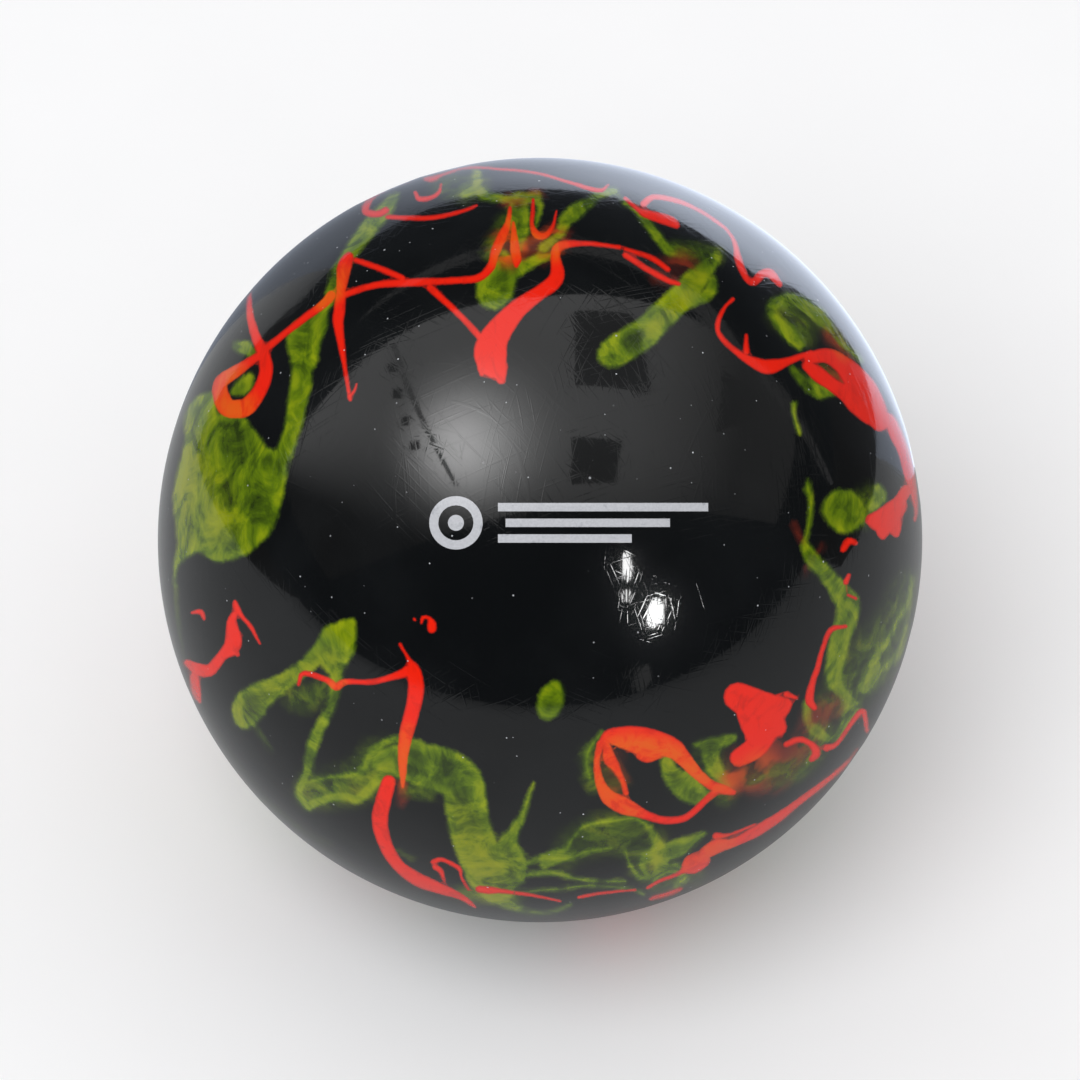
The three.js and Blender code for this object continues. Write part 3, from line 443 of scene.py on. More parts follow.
def tilt_and_heading(directions):
    tilt = np.arccos(np.clip(directions @ FACING, -1.0, 1.0))
    return tilt, np.arctan2(directions @ UPWARD, directions @ ACROSS)


def drawing_of(directions):
    """The place in the drawing of each direction from the ball's centre."""
    tilt, heading = tilt_and_heading(directions)
    rear = tilt > OUTLINE_TILT
    heading = np.where(rear, heading - REAR_TWIST * (tilt - OUTLINE_TILT), heading)
    tilt = np.where(rear, (math.pi - tilt) / REAR_STRETCH, tilt)
    seen = 100.0 * np.sin(tilt) / OUTLINE_SLOPE / (DISTANCE - np.cos(tilt))
    return np.stack([seen * np.cos(heading), seen * np.sin(heading)], axis=1)


def directions_of(tilt, heading):
    return (
        np.outer(np.sin(tilt) * np.cos(heading), ACROSS)
        + np.outer(np.sin(tilt) * np.sin(heading), UPWARD)
        + np.outer(np.cos(tilt), FACING)
    )


def chart_of(tilt, heading, rear):
    """Flat coordinates of a half, in degrees from its pole."""
    reach = np.degrees(math.pi - tilt if rear else tilt)
    return np.stack([reach * np.cos(heading), reach * np.sin(heading)], axis=1)


def directions_of_chart(chart, rear):
    reach = np.radians(np.hypot(chart[:, 0], chart[:, 1]))
    heading = np.arctan2(chart[:, 1], chart[:, 0])
    return directions_of(math.pi - reach if rear else reach, heading)


# ---------------------------------------------------------------- strokes and depths
def smoothed(stroke):
    """The stroke as a smooth curve through its points, with points about STROKE_STEP apart."""
    points = np.array(stroke, dtype=float)
    ends = np.vstack([2 * points[0] - points[1], points, 2 * points[-1] - points[-2]])
    curve = []
    for a, b, c, d in zip(ends, ends[1:], ends[2:], ends[3:]):
        tilt, heading = angles_of(np.stack([b[:2], c[:2]]), False)
        span = np.linalg.norm(np.diff(chart_of(tilt, heading, False), axis=0))
        steps = max(int(math.ceil(span / STROKE_STEP)), 1)
        for t in np.arange(steps) / steps:
            bend = 2 * b + (c - a) * t + (2 * a - 5 * b + 4 * c - d) * t**2
            curve.append((bend + (3 * b - a - 3 * c + d) * t**3) / 2)
    curve.append(points[-1])
    curve = np.array(curve)
    curve[:, 2] = np.maximum(curve[:, 2], min(points[:, 2]))
    return curve


def stroke_depth(drawn, curve):
    """How deep inside a stroke each place lies, negative outside it."""
    start = curve[:-1]
    along = curve[1:] - start
    length2 = np.maximum((along[:, :2] ** 2).sum(axis=1), 1e-9)
    offset = drawn[:, None, :] - start[None, :, :2]
    t = np.clip((offset * along[None, :, :2]).sum(axis=2) / length2, 0.0, 1.0)
    nearest = offset - t[:, :, None] * along[None, :, :2]
    half = start[None, :, 2] + t * along[None, :, 2]
    return (half - np.sqrt((nearest**2).sum(axis=2))).max(axis=1)


def near_curve(drawn, curve):
    reach = curve[:, 2].max() + FIELD_REACH
    low = curve[:, :2].min(axis=0) - reach
    high = curve[:, :2].max(axis=0) + reach
    return np.nonzero(((drawn > low) & (drawn < high)).all(axis=1))[0]


def depth_of(drawn, curves):
    depth = np.full(len(drawn), -FIELD_REACH)
    for curve in curves:
        near = near_curve(drawn, curve)
        if len(near):
            depth[near] = np.maximum(depth[near], stroke_depth(drawn[near], curve))
    return depth


def haze_of(drawn, clouds):
    amount = np.zeros(len(drawn))
    for strength, curve in clouds:
        near = near_curve(drawn, curve)
        if len(near):
            half = curve[:, 2].max()
            ramp = np.clip(stroke_depth(drawn[near], curve) / half * 0.6 + 0.6, 0.0, 1.0)
            cover = strength * ramp * ramp * (3 - 2 * ramp)
            amount[near] = np.maximum(amount[near], cover)
    return amount


RED_CURVES = [smoothed(stroke) for stroke in RED_STROKES]
GREEN_CURVES = [smoothed(stroke) for stroke in GREEN_STROKES]
HAZES = {
    name: [(strength, smoothed(points)) for strength, points in clouds]
    for name, clouds in (
        ("red_haze", RED_HAZE), ("green_haze", GREEN_HAZE), ("orange", ORANGE), ("yellow", YELLOW)
    )
}


# ---------------------------------------------------------------- lines that the mesh follows
def circle(centre, radius):
    count = max(int(2 * math.pi * radius / MARK_STEP), CIRCLE_CORNERS)
    turn = np.arange(count + 1) * 2 * math.pi / count
    return np.stack([centre[0] + radius * np.cos(turn), centre[1] + radius * np.sin(turn)], axis=1)


def rectangle(left, right, up):
    corners = [(left, up - LINE_HALF_WIDTH), (right, up - LINE_HALF_WIDTH)]
    corners += [(right, up + LINE_HALF_WIDTH), (left, up + LINE_HALF_WIDTH)]
    sides = []
    for start, end in zip(corners, corners[1:] + corners[:1]):
        count = max(int(math.dist(start, end) / MARK_STEP), 1)
        sides += [np.array(start) + (np.array(end) - start) * k / count for k in range(count)]
    return np.array(sides + [corners[0]])


def mark_outlines():
    outlines = [circle(MARK_CENTRE, RING_OUTER), circle(MARK_CENTRE, RING_INNER)]
    outlines.append(circle(MARK_CENTRE, DOT_RADIUS))
    return outlines + [rectangle(*line) for line in MARK_LINES.values()]


def mark_piece(drawn):
    """The index in MARK_NAMES of the patch that each place lies in, or -1."""
    found = np.full(len(drawn), -1)
    reach = np.hypot(drawn[:, 0] - MARK_CENTRE[0], drawn[:, 1] - MARK_CENTRE[1])
    found[(reach > RING_INNER) & (reach < RING_OUTER)] = 0
    found[reach < DOT_RADIUS] = 1
    for i, (left, right, up) in enumerate(MARK_LINES.values()):
        inside = (drawn[:, 0] > left) & (drawn[:, 0] < right)
        found[inside & (abs(drawn[:, 1] - up) < LINE_HALF_WIDTH)] = 2 + i
    return found


MARK_NAMES = ["print_ring", "print_dot", *MARK_LINES]


def stroke_outline(curve):
    """The closed edge of a stroke, with round ends."""
    heading = np.gradient(curve[:, :2], axis=0)
    heading /= np.maximum(np.linalg.norm(heading, axis=1), 1e-9)[:, None]
    side = np.stack([-heading[:, 1], heading[:, 0]], axis=1) * curve[:, 2:]
    left = curve[:, :2] + side
    right = curve[:, :2] - side
    far = round_end(curve[-1], side[-1])
    near = round_end(curve[0], -side[0])
    return np.vstack([left, far, right[::-1], near, left[:1]])


def round_end(point, arm):
    count = 3 if point[2] < 1 else 6
    turns = -np.arange(1, count) * math.pi / count
    spin = np.stack([np.cos(turns), -np.sin(turns), np.sin(turns), np.cos(turns)], axis=1)
    return point[:2] + np.einsum("nij,j->ni", spin.reshape(-1, 2, 2), arm)


def kept_edges(outline, curves):
    """Only edges that lie on the edge of the whole colour, not inside another stroke."""
    on_edge = abs(depth_of(outline, curves)) < EDGE_TOLERANCE
    return on_edge[:-1] | on_edge[1:]


# ---------------------------------------------------------------- meshing a half
def add_line(points, edges, line, keep):
    base = len(points)
    points.extend(map(tuple, line))
    edges.extend((base + i, base + i + 1) for i in np.nonzero(keep)[0])


def plain_points(rear):
    """Evenly spread points of the plain surface, clear of the streaks' edges."""
    rows = int(CHART_EDGE / (SURFACE_STEP * math.sqrt(3) / 2)) + 1
    across = np.arange(-CHART_EDGE, CHART_EDGE, SURFACE_STEP)
    grid = []
    for row in range(-rows, rows + 1):
        up = np.full(len(across), row * SURFACE_STEP * math.sqrt(3) / 2)
        grid.append(np.stack([across + (row % 2) * SURFACE_STEP / 2, up], axis=1))
    grid = np.vstack(grid)
    reach = np.hypot(grid[:, 0], grid[:, 1])
    grid = grid[(reach < CHART_EDGE) & (abs(reach - 90.0) > SURFACE_STEP / 2)]
    drawn = drawing_of(directions_of_chart(grid, rear))
    clear = abs(depth_of(drawn, RED_CURVES)) > KEEP_CLEAR
    clear &= abs(depth_of(drawn, GREEN_CURVES)) > KEEP_CLEAR
    return grid[clear]


def half_lines(rear):
    """Points and fixed edges of a half: seam, streak edges and middles, and the mark."""
    points = []
    edges = []
    turn = np.arange(SEAM_POINTS + 1) * 2 * math.pi / SEAM_POINTS
    seam_reach = 90.0 - math.degrees(BOND_GAP / BALL_RADIUS)
    seam = seam_reach * np.stack([np.cos(turn), np.sin(turn)], axis=1)
    add_line(points, edges, seam, np.ones(SEAM_POINTS, dtype=bool))
    for curves in (RED_CURVES, GREEN_CURVES):
        for curve in curves:
            outline = stroke_outline(curve)
            keep = kept_edges(outline, curves)
            add_line(points, edges, chart_of(*angles_of(outline, rear), rear), keep)
            middle = chart_of(*angles_of(curve[:, :2], rear), rear)
            add_line(points, edges, middle, np.zeros(0, dtype=bool))
    if not rear:
        for outline in mark_outlines():
            keep = np.ones(len(outline) - 1, dtype=bool)
            add_line(points, edges, chart_of(*angles_of(outline, False), False), keep)
    return points, edges


def triangulated(points, edges):
    """Corners and triangles of a half's flat chart, trimmed at the seam."""
    verts, _, faces, _, _, _ = delaunay_2d_cdt([Vector(p) for p in points], edges, [], 0, 1e-4)
    chart = np.array([tuple(v) for v in verts])
    faces = np.array(faces)
    middles = chart[faces].mean(axis=1)
    return chart, faces[np.hypot(middles[:, 0], middles[:, 1]) < 90.0]


def missed_middles(chart, faces, rear):
    """Middles of triangles that span a gap or a streak from edge to edge, so that no corner
    knows how deep it is."""
    drawn = drawing_of(directions_of_chart(chart, rear))
    middles = drawn[faces].mean(axis=1)
    missed = np.zeros(len(faces), dtype=bool)
    for curves in (RED_CURVES, GREEN_CURVES):
        corners = abs(depth_of(drawn, curves))[faces]
        level = np.nonzero(corners.max(axis=1) < LEVEL_CORNERS)[0]
        missed[level] |= abs(depth_of(middles[level], curves)) > MISSED_DEPTH
    return chart[faces[missed]].mean(axis=1)


def meshed_half(rear):
    """Directions and triangles of a half ball's face, facing out."""
    points, edges = half_lines(rear)
    points.extend(map(tuple, plain_points(rear)))
    for _ in range(GAP_ROUNDS):
        points.extend(map(tuple, missed_middles(*triangulated(points, edges), rear)))
    chart, faces = triangulated(points, edges)
    used, faces = np.unique(faces, return_inverse=True)
    chart = chart[used]
    faces = faces.reshape(-1, 3)
    a, b, c = (chart[faces[:, i]] for i in range(3))
    area = (b[:, 0] - a[:, 0]) * (c[:, 1] - a[:, 1]) - (b[:, 1] - a[:, 1]) * (c[:, 0] - a[:, 0])
    wrong = (area < 0) != rear
    faces[wrong] = faces[wrong][:, ::-1]
    return directions_of_chart(chart, rear), faces


# ---------------------------------------------------------------- from faces to pieces
def connected(faces, chosen):
    """A group number for each chosen face, the same for faces that share an edge."""
    parent = list(range(len(faces)))

    def root(i):
        while parent[i] != i:
            parent[i] = parent[parent[i]]
            i = parent[i]
        return i

    owner = {}
    for i in np.nonzero(chosen)[0]:
        a, b, c = (int(v) for v in faces[i])
        for edge in ((a, b), (b, c), (c, a)):
            other = owner.setdefault((min(edge), max(edge)), i)
            parent[root(i)] = root(other)
    return np.array([root(i) if chosen[i] else -1 for i in range(len(faces))])


def face_areas(directions, faces):
    a, b, c = (directions[faces[:, i]] * BALL_RADIUS for i in range(3))
    return np.linalg.norm(np.cross(b - a, c - a), axis=1) / 2


def is_rear(node):
    vertices = frame["nodes"][node].data.vertices
    return Vector(FACING).dot(vertices[0].co) < 0


def streak_nodes(colour, rear):
    """The CAD streaks of one colour on one half."""
    names = [name for name in frame["nodes"] if name.startswith(colour + "_streak")]
    return sorted(name for name in names if is_rear(name) == rear)


def node_points(colour, rear):
    """The corners of a half's CAD streaks of one colour, and a tree that finds the nearest."""
    owners = []
    places = []
    for name in streak_nodes(colour, rear):
        for vertex in frame["nodes"][name].data.vertices:
            owners.append(name)
            places.append(vertex.co.copy())
    tree = KDTree(len(places))
    for i, place in enumerate(places):
        tree.insert(place, i)
    tree.balance()
    return owners, tree


def nearest_node(middles, owners, tree):
    """The CAD streak that most of these places lie nearest to."""
    votes = {}
    for place in middles[:: max(len(middles) // 40, 1)]:
        name = owners[tree.find(Vector(place))[1]]
        votes[name] = votes.get(name, 0) + 1
    return max(sorted(votes), key=votes.get)


def labelled(directions, faces, rear):
    """The name of the CAD node that each face belongs to."""
    middles = unit(directions[faces].mean(axis=1))
    drawn = drawing_of(middles)
    areas = face_areas(directions, faces)
    labels = np.full(len(faces), "cover_rear" if rear else "cover_front", dtype=object)
    red = depth_of(drawn, RED_CURVES) > 0
    green = (depth_of(drawn, GREEN_CURVES) > 0) & ~red
    for colour, chosen in (("red", red), ("green", green)):
        owners, tree = node_points(colour, rear)
        groups = connected(faces, chosen)
        for group in np.unique(groups[groups >= 0]):
            members = groups == group
            if areas[members].sum() > SMALLEST_STREAK:
                places = middles[members] * BALL_RADIUS
                labels[members] = nearest_node(places, owners, tree)
    if not rear:
        mark = mark_piece(drawn)
        for i, name in enumerate(MARK_NAMES):
            labels[mark == i] = name
    return labels


def open_edges(faces):
    """Directed edges, as (start, end), that no face runs the other way."""
    directed = np.vstack([faces[:, [0, 1]], faces[:, [1, 2]], faces[:, [2, 0]]])
    here = {tuple(edge) for edge in directed.tolist()}
    return [edge for edge in here if (edge[1], edge[0]) not in here]


def wall(edges, top, bottom):
    """Quads from the top layer down to the bottom layer, facing away from the faces' side."""
    return [(b + top, a + top, a + bottom, b + bottom) for a, b in edges]


def inlay_solid(directions, faces, depth):
    """A closed inlay, flush with the face of the ball: its vertices and faces, the face first."""
    count = len(directions)
    verts = np.vstack([directions * BALL_RADIUS, directions * (BALL_RADIUS - depth)[:, None]])
    top = [tuple(face) for face in faces.tolist()]
    under = [(c + count, b + count, a + count) for a, b, c in top]
    return verts, top, under + wall(open_edges(faces), 0, count)


def ring_order(edges):
    """The seam's points in order, from its directed edges."""
    following = dict(edges)
    loop = [min(following)]
    while following[loop[-1]] != loop[0]:
        loop.append(following[loop[-1]])
    return loop


def inner_dome(directions, loop, base, rear):
    """The inside of a half shell: rings that shrink from the seam to the pole."""
    tilt, heading = tilt_and_heading(directions[loop])
    pole = math.pi if rear else 0.0
    verts = []
    for ring in range(INNER_RINGS):
        share = 1.0 - ring / INNER_RINGS
        verts.append(directions_of(pole + (tilt - pole) * share, heading))
    verts.append(FACING[None, :] * (-1.0 if rear else 1.0))
    count = len(loop)
    faces = []
    for ring in range(INNER_RINGS):
        for i in range(count):
            a = base + ring * count + i
            b = base + ring * count + (i + 1) % count
            if ring < INNER_RINGS - 1:
                faces.append((b, a, a + count, b + count))
            else:
                faces.append((b, a, base + INNER_RINGS * count))
    return np.vstack(verts) * (BALL_RADIUS - COVER_THICKNESS), faces


def cover_solid(directions, faces, inlaid, depth, rear):
    """A closed half shell with a pocket under each inlay."""
    count = len(directions)
    floor = BALL_RADIUS - depth - BOND_GAP
    outer = faces[~inlaid]
    pockets = faces[inlaid]
    seam = open_edges(faces)
    loop = ring_order(seam)
    place = {vertex: 2 * count + i for i, vertex in enumerate(loop)}
    dome, dome_faces = inner_dome(directions, loop, 2 * count, rear)
    verts = np.vstack([directions * BALL_RADIUS, directions * floor[:, None], dome])
    top = [tuple(face) for face in outer.tolist()]
    other = [(a + count, b + count, c + count) for a, b, c in pockets.tolist()]
    other += wall(open_edges(outer), 0, count)
    other += [(b + count, a + count, place[a], place[b]) for a, b in seam]
    return verts, top, other + dome_faces


def inlay_depths(directions, faces, labels):
    depth = np.full(len(directions), STREAK_DEPTH)
    printed = np.isin(labels, MARK_NAMES)
    depth[np.unique(faces[printed])] = PRINT_DEPTH
    return depth


# ---------------------------------------------------------------- Blender objects
def compact(verts, polygons):
    used = np.unique([v for polygon in polygons for v in polygon])
    renumber = np.zeros(len(verts), dtype=int)
    renumber[used] = np.arange(len(used))
    return verts[used], [tuple(int(renumber[v]) for v in polygon) for polygon in polygons]


def store(mesh, name, values):
    layer = mesh.attributes.new(name, "FLOAT", "POINT")
    layer.data.foreach_set("value", values.astype(np.float32))


def store_marbling(mesh, verts):
    """How deep each point lies in each colour, and how cloudy or mixed the colour is there."""
    drawn = drawing_of(unit(verts))
    store(mesh, "red_depth", depth_of(drawn, RED_CURVES))
    store(mesh, "green_depth", depth_of(drawn, GREEN_CURVES))
    for name, clouds in HAZES.items():
        store(mesh, name, haze_of(drawn, clouds))


def set_normals(mesh, verts, top_count):
    """The ball's own normals on its face, and flat ones on the hidden sides."""
    mesh.polygons.foreach_set("use_smooth", np.ones(len(mesh.polygons), dtype=bool))
    round_normals = unit(verts)
    normals = []
    for polygon in mesh.polygons:
        if polygon.index < top_count:
            normals.extend(round_normals[v] for v in polygon.vertices)
        else:
            normals.extend([polygon.normal] * len(polygon.vertices))
    mesh.normals_split_custom_set(normals)


def add_piece(name, solid, material):
    verts, top, other = solid
    verts, polygons = compact(verts, top + other)
    mesh = bpy.data.meshes.new(name)
    mesh.from_pydata([tuple(v) for v in verts], [], polygons)
    store_marbling(mesh, verts)
    set_normals(mesh, verts, len(top))
    mesh.materials.append(material)
    return linked(name, mesh)


def linked(name, data):
    thing = bpy.data.objects.new(name, data)
    bpy.context.scene.collection.objects.link(thing)
    return thing


def slot_of(node):
    return {row["node"]: row["material_slot"] for row in frame["record"]["subparts"]}[node]


# ---------------------------------------------------------------- shader building
class Shader:
    """A small writer for a material's nodes."""

    def __init__(self, name):
        self.material = bpy.data.materials.new(name)
        self.material.use_nodes = True
        self.tree = self.material.node_tree
        self.tree.nodes.clear()
        self.place = self.add("ShaderNodeTexCoord").outputs["Object"]

    def add(self, kind, **settings):
        node = self.tree.nodes.new(kind)
        for key, value in settings.items():
            setattr(node, key, value)
        return node

    def feed(self, socket, value):
        if isinstance(value, bpy.types.NodeSocket):
            self.tree.links.new(value, socket)
        else:
            socket.default_value = value

    def math(self, operation, *values):
        node = self.add("ShaderNodeMath", operation=operation)
        for socket, value in zip(node.inputs, values):
            self.feed(socket, value)
        return node.outputs[0]

    def ramp(self, value, low, high, to_low=0.0, to_high=1.0, smooth=True):
        kind = "SMOOTHSTEP" if smooth else "LINEAR"
        node = self.add("ShaderNodeMapRange", interpolation_type=kind)
        for socket, number in zip(node.inputs, (value, low, high, to_low, to_high)):
            self.feed(socket, number)
        return node.outputs[0]

    def noise(self, scale, detail=2.0, roughness=0.5, place=None, distortion=0.0):
        node = self.add("ShaderNodeTexNoise")
        self.feed(node.inputs["Vector"], place or self.place)
        node.inputs["Scale"].default_value = scale
        node.inputs["Detail"].default_value = detail
        node.inputs["Roughness"].default_value = roughness
        node.inputs["Distortion"].default_value = distortion
        return node.outputs[0]

    def cells(self, scale, feature="F1"):
        node = self.add("ShaderNodeTexVoronoi", feature=feature)
        self.feed(node.inputs["Vector"], self.place)
        node.inputs["Scale"].default_value = scale
        return node

    def first_channel(self, cell):
        """One random number for each cell."""
        node = self.add("ShaderNodeSeparateColor")
        self.feed(node.inputs[0], cell.outputs["Color"])
        return node.outputs[0]

    def mapped(self, scale, turn, kind="POINT"):
        node = self.add("ShaderNodeMapping", vector_type=kind)
        self.feed(node.inputs["Vector"], self.place)
        node.inputs["Scale"].default_value = scale
        node.inputs["Rotation"].default_value = turn
        return node.outputs[0]

    def sheets(self, thin, broad, turn):
        """The place squeezed so that a noise becomes thin sheets, which cut a face in lines."""
        return self.mapped((thin, broad, broad), turn, "TEXTURE")

    def right_and_back(self):
        """How far right of the ball and how far behind it a place is."""
        split = self.add("ShaderNodeSeparateXYZ")
        self.feed(split.inputs[0], self.place)
        return split.outputs[0], split.outputs[1]

    def attribute(self, name):
        return self.add("ShaderNodeAttribute", attribute_name=name).outputs["Fac"]

    def mix(self, factor, first, second):
        node = self.add("ShaderNodeMix", data_type="RGBA")
        self.feed(node.inputs[0], factor)
        self.feed(node.inputs[6], first)
        self.feed(node.inputs[7], second)
        return node.outputs[2]

    def gradient(self, value, *stops):
        """A colour ramp from (position, colour) stops."""
        node = self.add("ShaderNodeValToRGB")
        elements = node.color_ramp.elements
        while len(elements) < len(stops):
            elements.new(1.0)
        for element, (position, colour) in zip(elements, stops):
            element.position = position
            element.color = colour
        self.feed(node.inputs["Fac"], value)
        return node.outputs["Color"]

    def bump(self, height, distance, before=None):
        node = self.add("ShaderNodeBump")
        node.inputs["Strength"].default_value = 1.0
        node.inputs["Distance"].default_value = distance
        self.feed(node.inputs["Height"], height)
        if before is not None:
            self.feed(node.inputs["Normal"], before)
        return node.outputs["Normal"]

    def surface(self, colour, roughness, normal=None, **constants):
        shader = self.add("ShaderNodeBsdfPrincipled")
        self.feed(shader.inputs["Base Color"], colour)
        self.feed(shader.inputs["Roughness"], roughness)
        for name, value in constants.items():
            shader.inputs[name.replace("_", " ")].default_value = value
        if normal is not None:
            self.feed(shader.inputs["Normal"], normal)
        self.finish(shader.outputs["BSDF"])
        return self.material

    def glowing(self, strength, colour=WHITE):
        """A face that only gives off light."""
        emission = self.add("ShaderNodeEmission")
        self.feed(emission.inputs["Color"], colour)
        self.feed(emission.inputs["Strength"], strength)
        self.finish(emission.outputs[0])
        return self.material

    def finish(self, shader):
        output = self.add("ShaderNodeOutputMaterial")
        self.tree.links.new(shader, output.inputs["Surface"])


# ---------------------------------------------------------------- materials of the ball
BLACK = (0.0020, 0.0024, 0.0028, 1)
BLACK_BLOOM = (0.0042, 0.0048, 0.0054, 1)
DEEP_RED = (0.42, 0.006, 0.001, 1)
RED = (0.78, 0.012, 0.0006, 1)
ORANGE_RED = (0.72, 0.095, 0.002, 1)
DULL_RED = (0.30, 0.030, 0.008, 1)
DARK_GREEN = (0.018, 0.036, 0.0008, 1)
MID_GREEN = (0.050, 0.092, 0.0010, 1)
GREEN = (0.100, 0.165, 0.0010, 1)
BRIGHT_GREEN = (0.240, 0.300, 0.0020, 1)
YELLOW_GREEN = (0.260, 0.270, 0.0020, 1)
DUST = (0.55, 0.57, 0.60, 1)
INK = (0.50, 0.51, 0.54, 1)
INK_GRAIN = (0.43, 0.44, 0.47, 1)
INK_WORN = (0.34, 0.35, 0.38, 1)
CORK = (0.42, 0.25, 0.12, 1)
CORK_LIGHT = (0.60, 0.40, 0.21, 1)
RUBBER_BINDER = (0.035, 0.022, 0.014, 1)

POLISH_ROUGHNESS = 0.045
SCRATCH_TURNS = [
    (0, 0.5, 0.4), (0, -0.4, -0.5), (0, 0.9, 1.1), (0, -1.1, 0.3), (0, 0.3, -1.2), (0, 0.2, 0.8),
]
SCRATCH_WIDTH = 0.00019
SCRATCH_LENGTH = 0.008
SCRATCH_HEIGHT = 0.0000036
RIPPLE_HEIGHT = 0.0000022
GRANULE_RELIEF = 0.0002


def wobble(shader):
    """Small shifts of a streak's edge, in the drawing's units."""
    broad = shader.math("SUBTRACT", shader.noise(700, 3.0, 0.6), 0.5)
    fine = shader.math("SUBTRACT", shader.noise(3200, 2.0, 0.6), 0.5)
    return shader.math("MULTIPLY_ADD", broad, 1.5, shader.math("MULTIPLY", fine, 0.7))


def streaky(shader, scale, turn):
    """Flow marks: noise drawn out along one direction and bent."""
    place = shader.mapped((scale, scale * 0.35, scale), turn)
    return shader.noise(1.0, 4.0, 0.62, place=place, distortion=0.8)


def green_tone(shader, depth):
    """Mottled and streaked, paler along its rim and where it runs to yellow."""
    flow = streaky(shader, 330, (0.4, 0.2, 0.5))
    blotch = shader.noise(260, 4.0, 0.62, distortion=0.9)
    mixed = shader.math("MULTIPLY_ADD", flow, 0.28, shader.math("MULTIPLY", blotch, 0.72))
    rim_start = shader.ramp(depth, 0.0, 0.9)
    rim = shader.math("MULTIPLY", rim_start, shader.ramp(depth, 1.0, 3.6, 1.0, 0.0))
    yellow = shader.attribute("yellow")
    lifted = shader.math("MULTIPLY_ADD", rim, 0.06, mixed)
    lifted = shader.math("MULTIPLY_ADD", yellow, 0.07, lifted)
    green = shader.gradient(
        lifted, (0.38, DARK_GREEN), (0.47, MID_GREEN), (0.54, GREEN), (0.68, BRIGHT_GREEN)
    )
    share = shader.math("MULTIPLY", yellow, shader.ramp(mixed, 0.40, 0.58, 0.1, 0.8))
    return shader.mix(share, green, YELLOW_GREEN)


def red_tone(shader, depth, orange):
    flow = streaky(shader, 500, (0.1, 0.7, 0.3))
    body = shader.ramp(flow, 0.28, 0.50, 0.50, 1.0)
    core = shader.math("MULTIPLY", shader.ramp(depth, -0.1, 0.7), body)
    red = shader.mix(core, DEEP_RED, RED)
    share = shader.math("MULTIPLY", orange, shader.ramp(flow, 0.36, 0.60, 0.35, 1.0))
    return shader.mix(share, red, ORANGE_RED)


def marbled_colour(shader):
    """Black plastic with red and green marbling, from the depths stored on the mesh."""
    shift = wobble(shader)
    red_depth = shader.attribute("red_depth")
    green_depth = shader.attribute("green_depth")
    orange = shader.attribute("orange")
    cloud = shader.ramp(shader.noise(420, 4.0, 0.62, distortion=0.9), 0.30, 0.58, 0.35, 1.0)
    green_haze = shader.math("MULTIPLY", shader.attribute("green_haze"), cloud)
    rifts = shader.ramp(shader.noise(330, 2.0, 0.5, distortion=0.3), 0.38, 0.58, 0.15, 1.0)
    red_haze = shader.math("MULTIPLY", shader.attribute("red_haze"), rifts)
    bloom = shader.ramp(shader.noise(90, 3.0), 0.4, 0.7)
    colour = shader.mix(bloom, BLACK, BLACK_BLOOM)
    green = green_tone(shader, green_depth)
    colour = shader.mix(green_haze, colour, green)
    feathered = shader.math("MULTIPLY_ADD", shift, 0.9, green_depth)
    colour = shader.mix(shader.ramp(feathered, -0.65, 0.9), colour, green)
    colour = shader.mix(red_haze, colour, shader.mix(orange, DULL_RED, ORANGE_RED))
    crisp = shader.math("MULTIPLY_ADD", shift, 0.35, red_depth)
    red_cover = shader.ramp(crisp, -0.28, 0.28)
    return shader.mix(red_cover, colour, red_tone(shader, red_depth, orange))


def dusted(shader, colour):
    """Sparse pale specks of dust and nicks."""
    result = colour
    for scale, size, rarity in ((420, 0.060, 0.80), (1000, 0.100, 0.78)):
        cell = shader.cells(scale)
        rare = shader.ramp(shader.first_channel(cell), rarity, 1.0, smooth=False)
        speck = shader.ramp(cell.outputs["Distance"], size * 0.5, size, 1.0, 0.0)
        result = shader.mix(shader.math("MULTIPLY", speck, rare), result, DUST)
    return result


def scratch_height(shader):
    """Hairlines left by handling, in several directions."""
    total = None
    for turn in SCRATCH_TURNS:
        place = shader.sheets(SCRATCH_WIDTH, SCRATCH_LENGTH, turn)
        line = shader.ramp(shader.noise(1.0, 1.0, 0.5, place=place), 0.61, 0.73)
        total = line if total is None else shader.math("MAXIMUM", total, line)
    patches = shader.ramp(shader.noise(150, 2.0), 0.38, 0.56, 0.4, 1.0)
    return shader.math("MULTIPLY", total, patches)


def polished_normal(shader):
    scratches = shader.bump(scratch_height(shader), SCRATCH_HEIGHT)
    return shader.bump(shader.noise(160, 2.0), RIPPLE_HEIGHT, before=scratches)


def polished_roughness(shader):
    """Clean gloss with faint smears of handling."""
    smear = shader.ramp(shader.noise(110, 4.0, 0.6, distortion=1.2), 0.50, 0.70)
    lines = shader.ramp(streaky(shader, 900, (0.9, 0.3, 1.1)), 0.5, 0.68)
    amount = shader.math("MULTIPLY", smear, lines)
    return shader.ramp(amount, 0.0, 1.0, POLISH_ROUGHNESS, POLISH_ROUGHNESS + 0.09, smooth=False)


def marbled_plastic(name):
    shader = Shader(name)
    colour = dusted(shader, marbled_colour(shader))
    return shader.surface(
        colour,
        polished_roughness(shader),
        polished_normal(shader),
        IOR=1.5,
        Coat_Weight=0.25,
        Coat_Roughness=0.22,
        Coat_IOR=1.3,
    )


def print_ink():
    """Silver-grey ink under the gloss, a little worn and grainy."""
    shader = Shader("print_ink")
    grain = shader.noise(5200, 2.0, 0.7)
    wear = shader.ramp(shader.noise(900, 4.0, 0.7), 0.30, 0.42)
    tone = shader.mix(shader.ramp(grain, 0.3, 0.7), INK_GRAIN, INK)
    colour = dusted(shader, shader.mix(wear, INK_WORN, tone))
    return shader.surface(colour, polished_roughness(shader), polished_normal(shader), IOR=1.5)


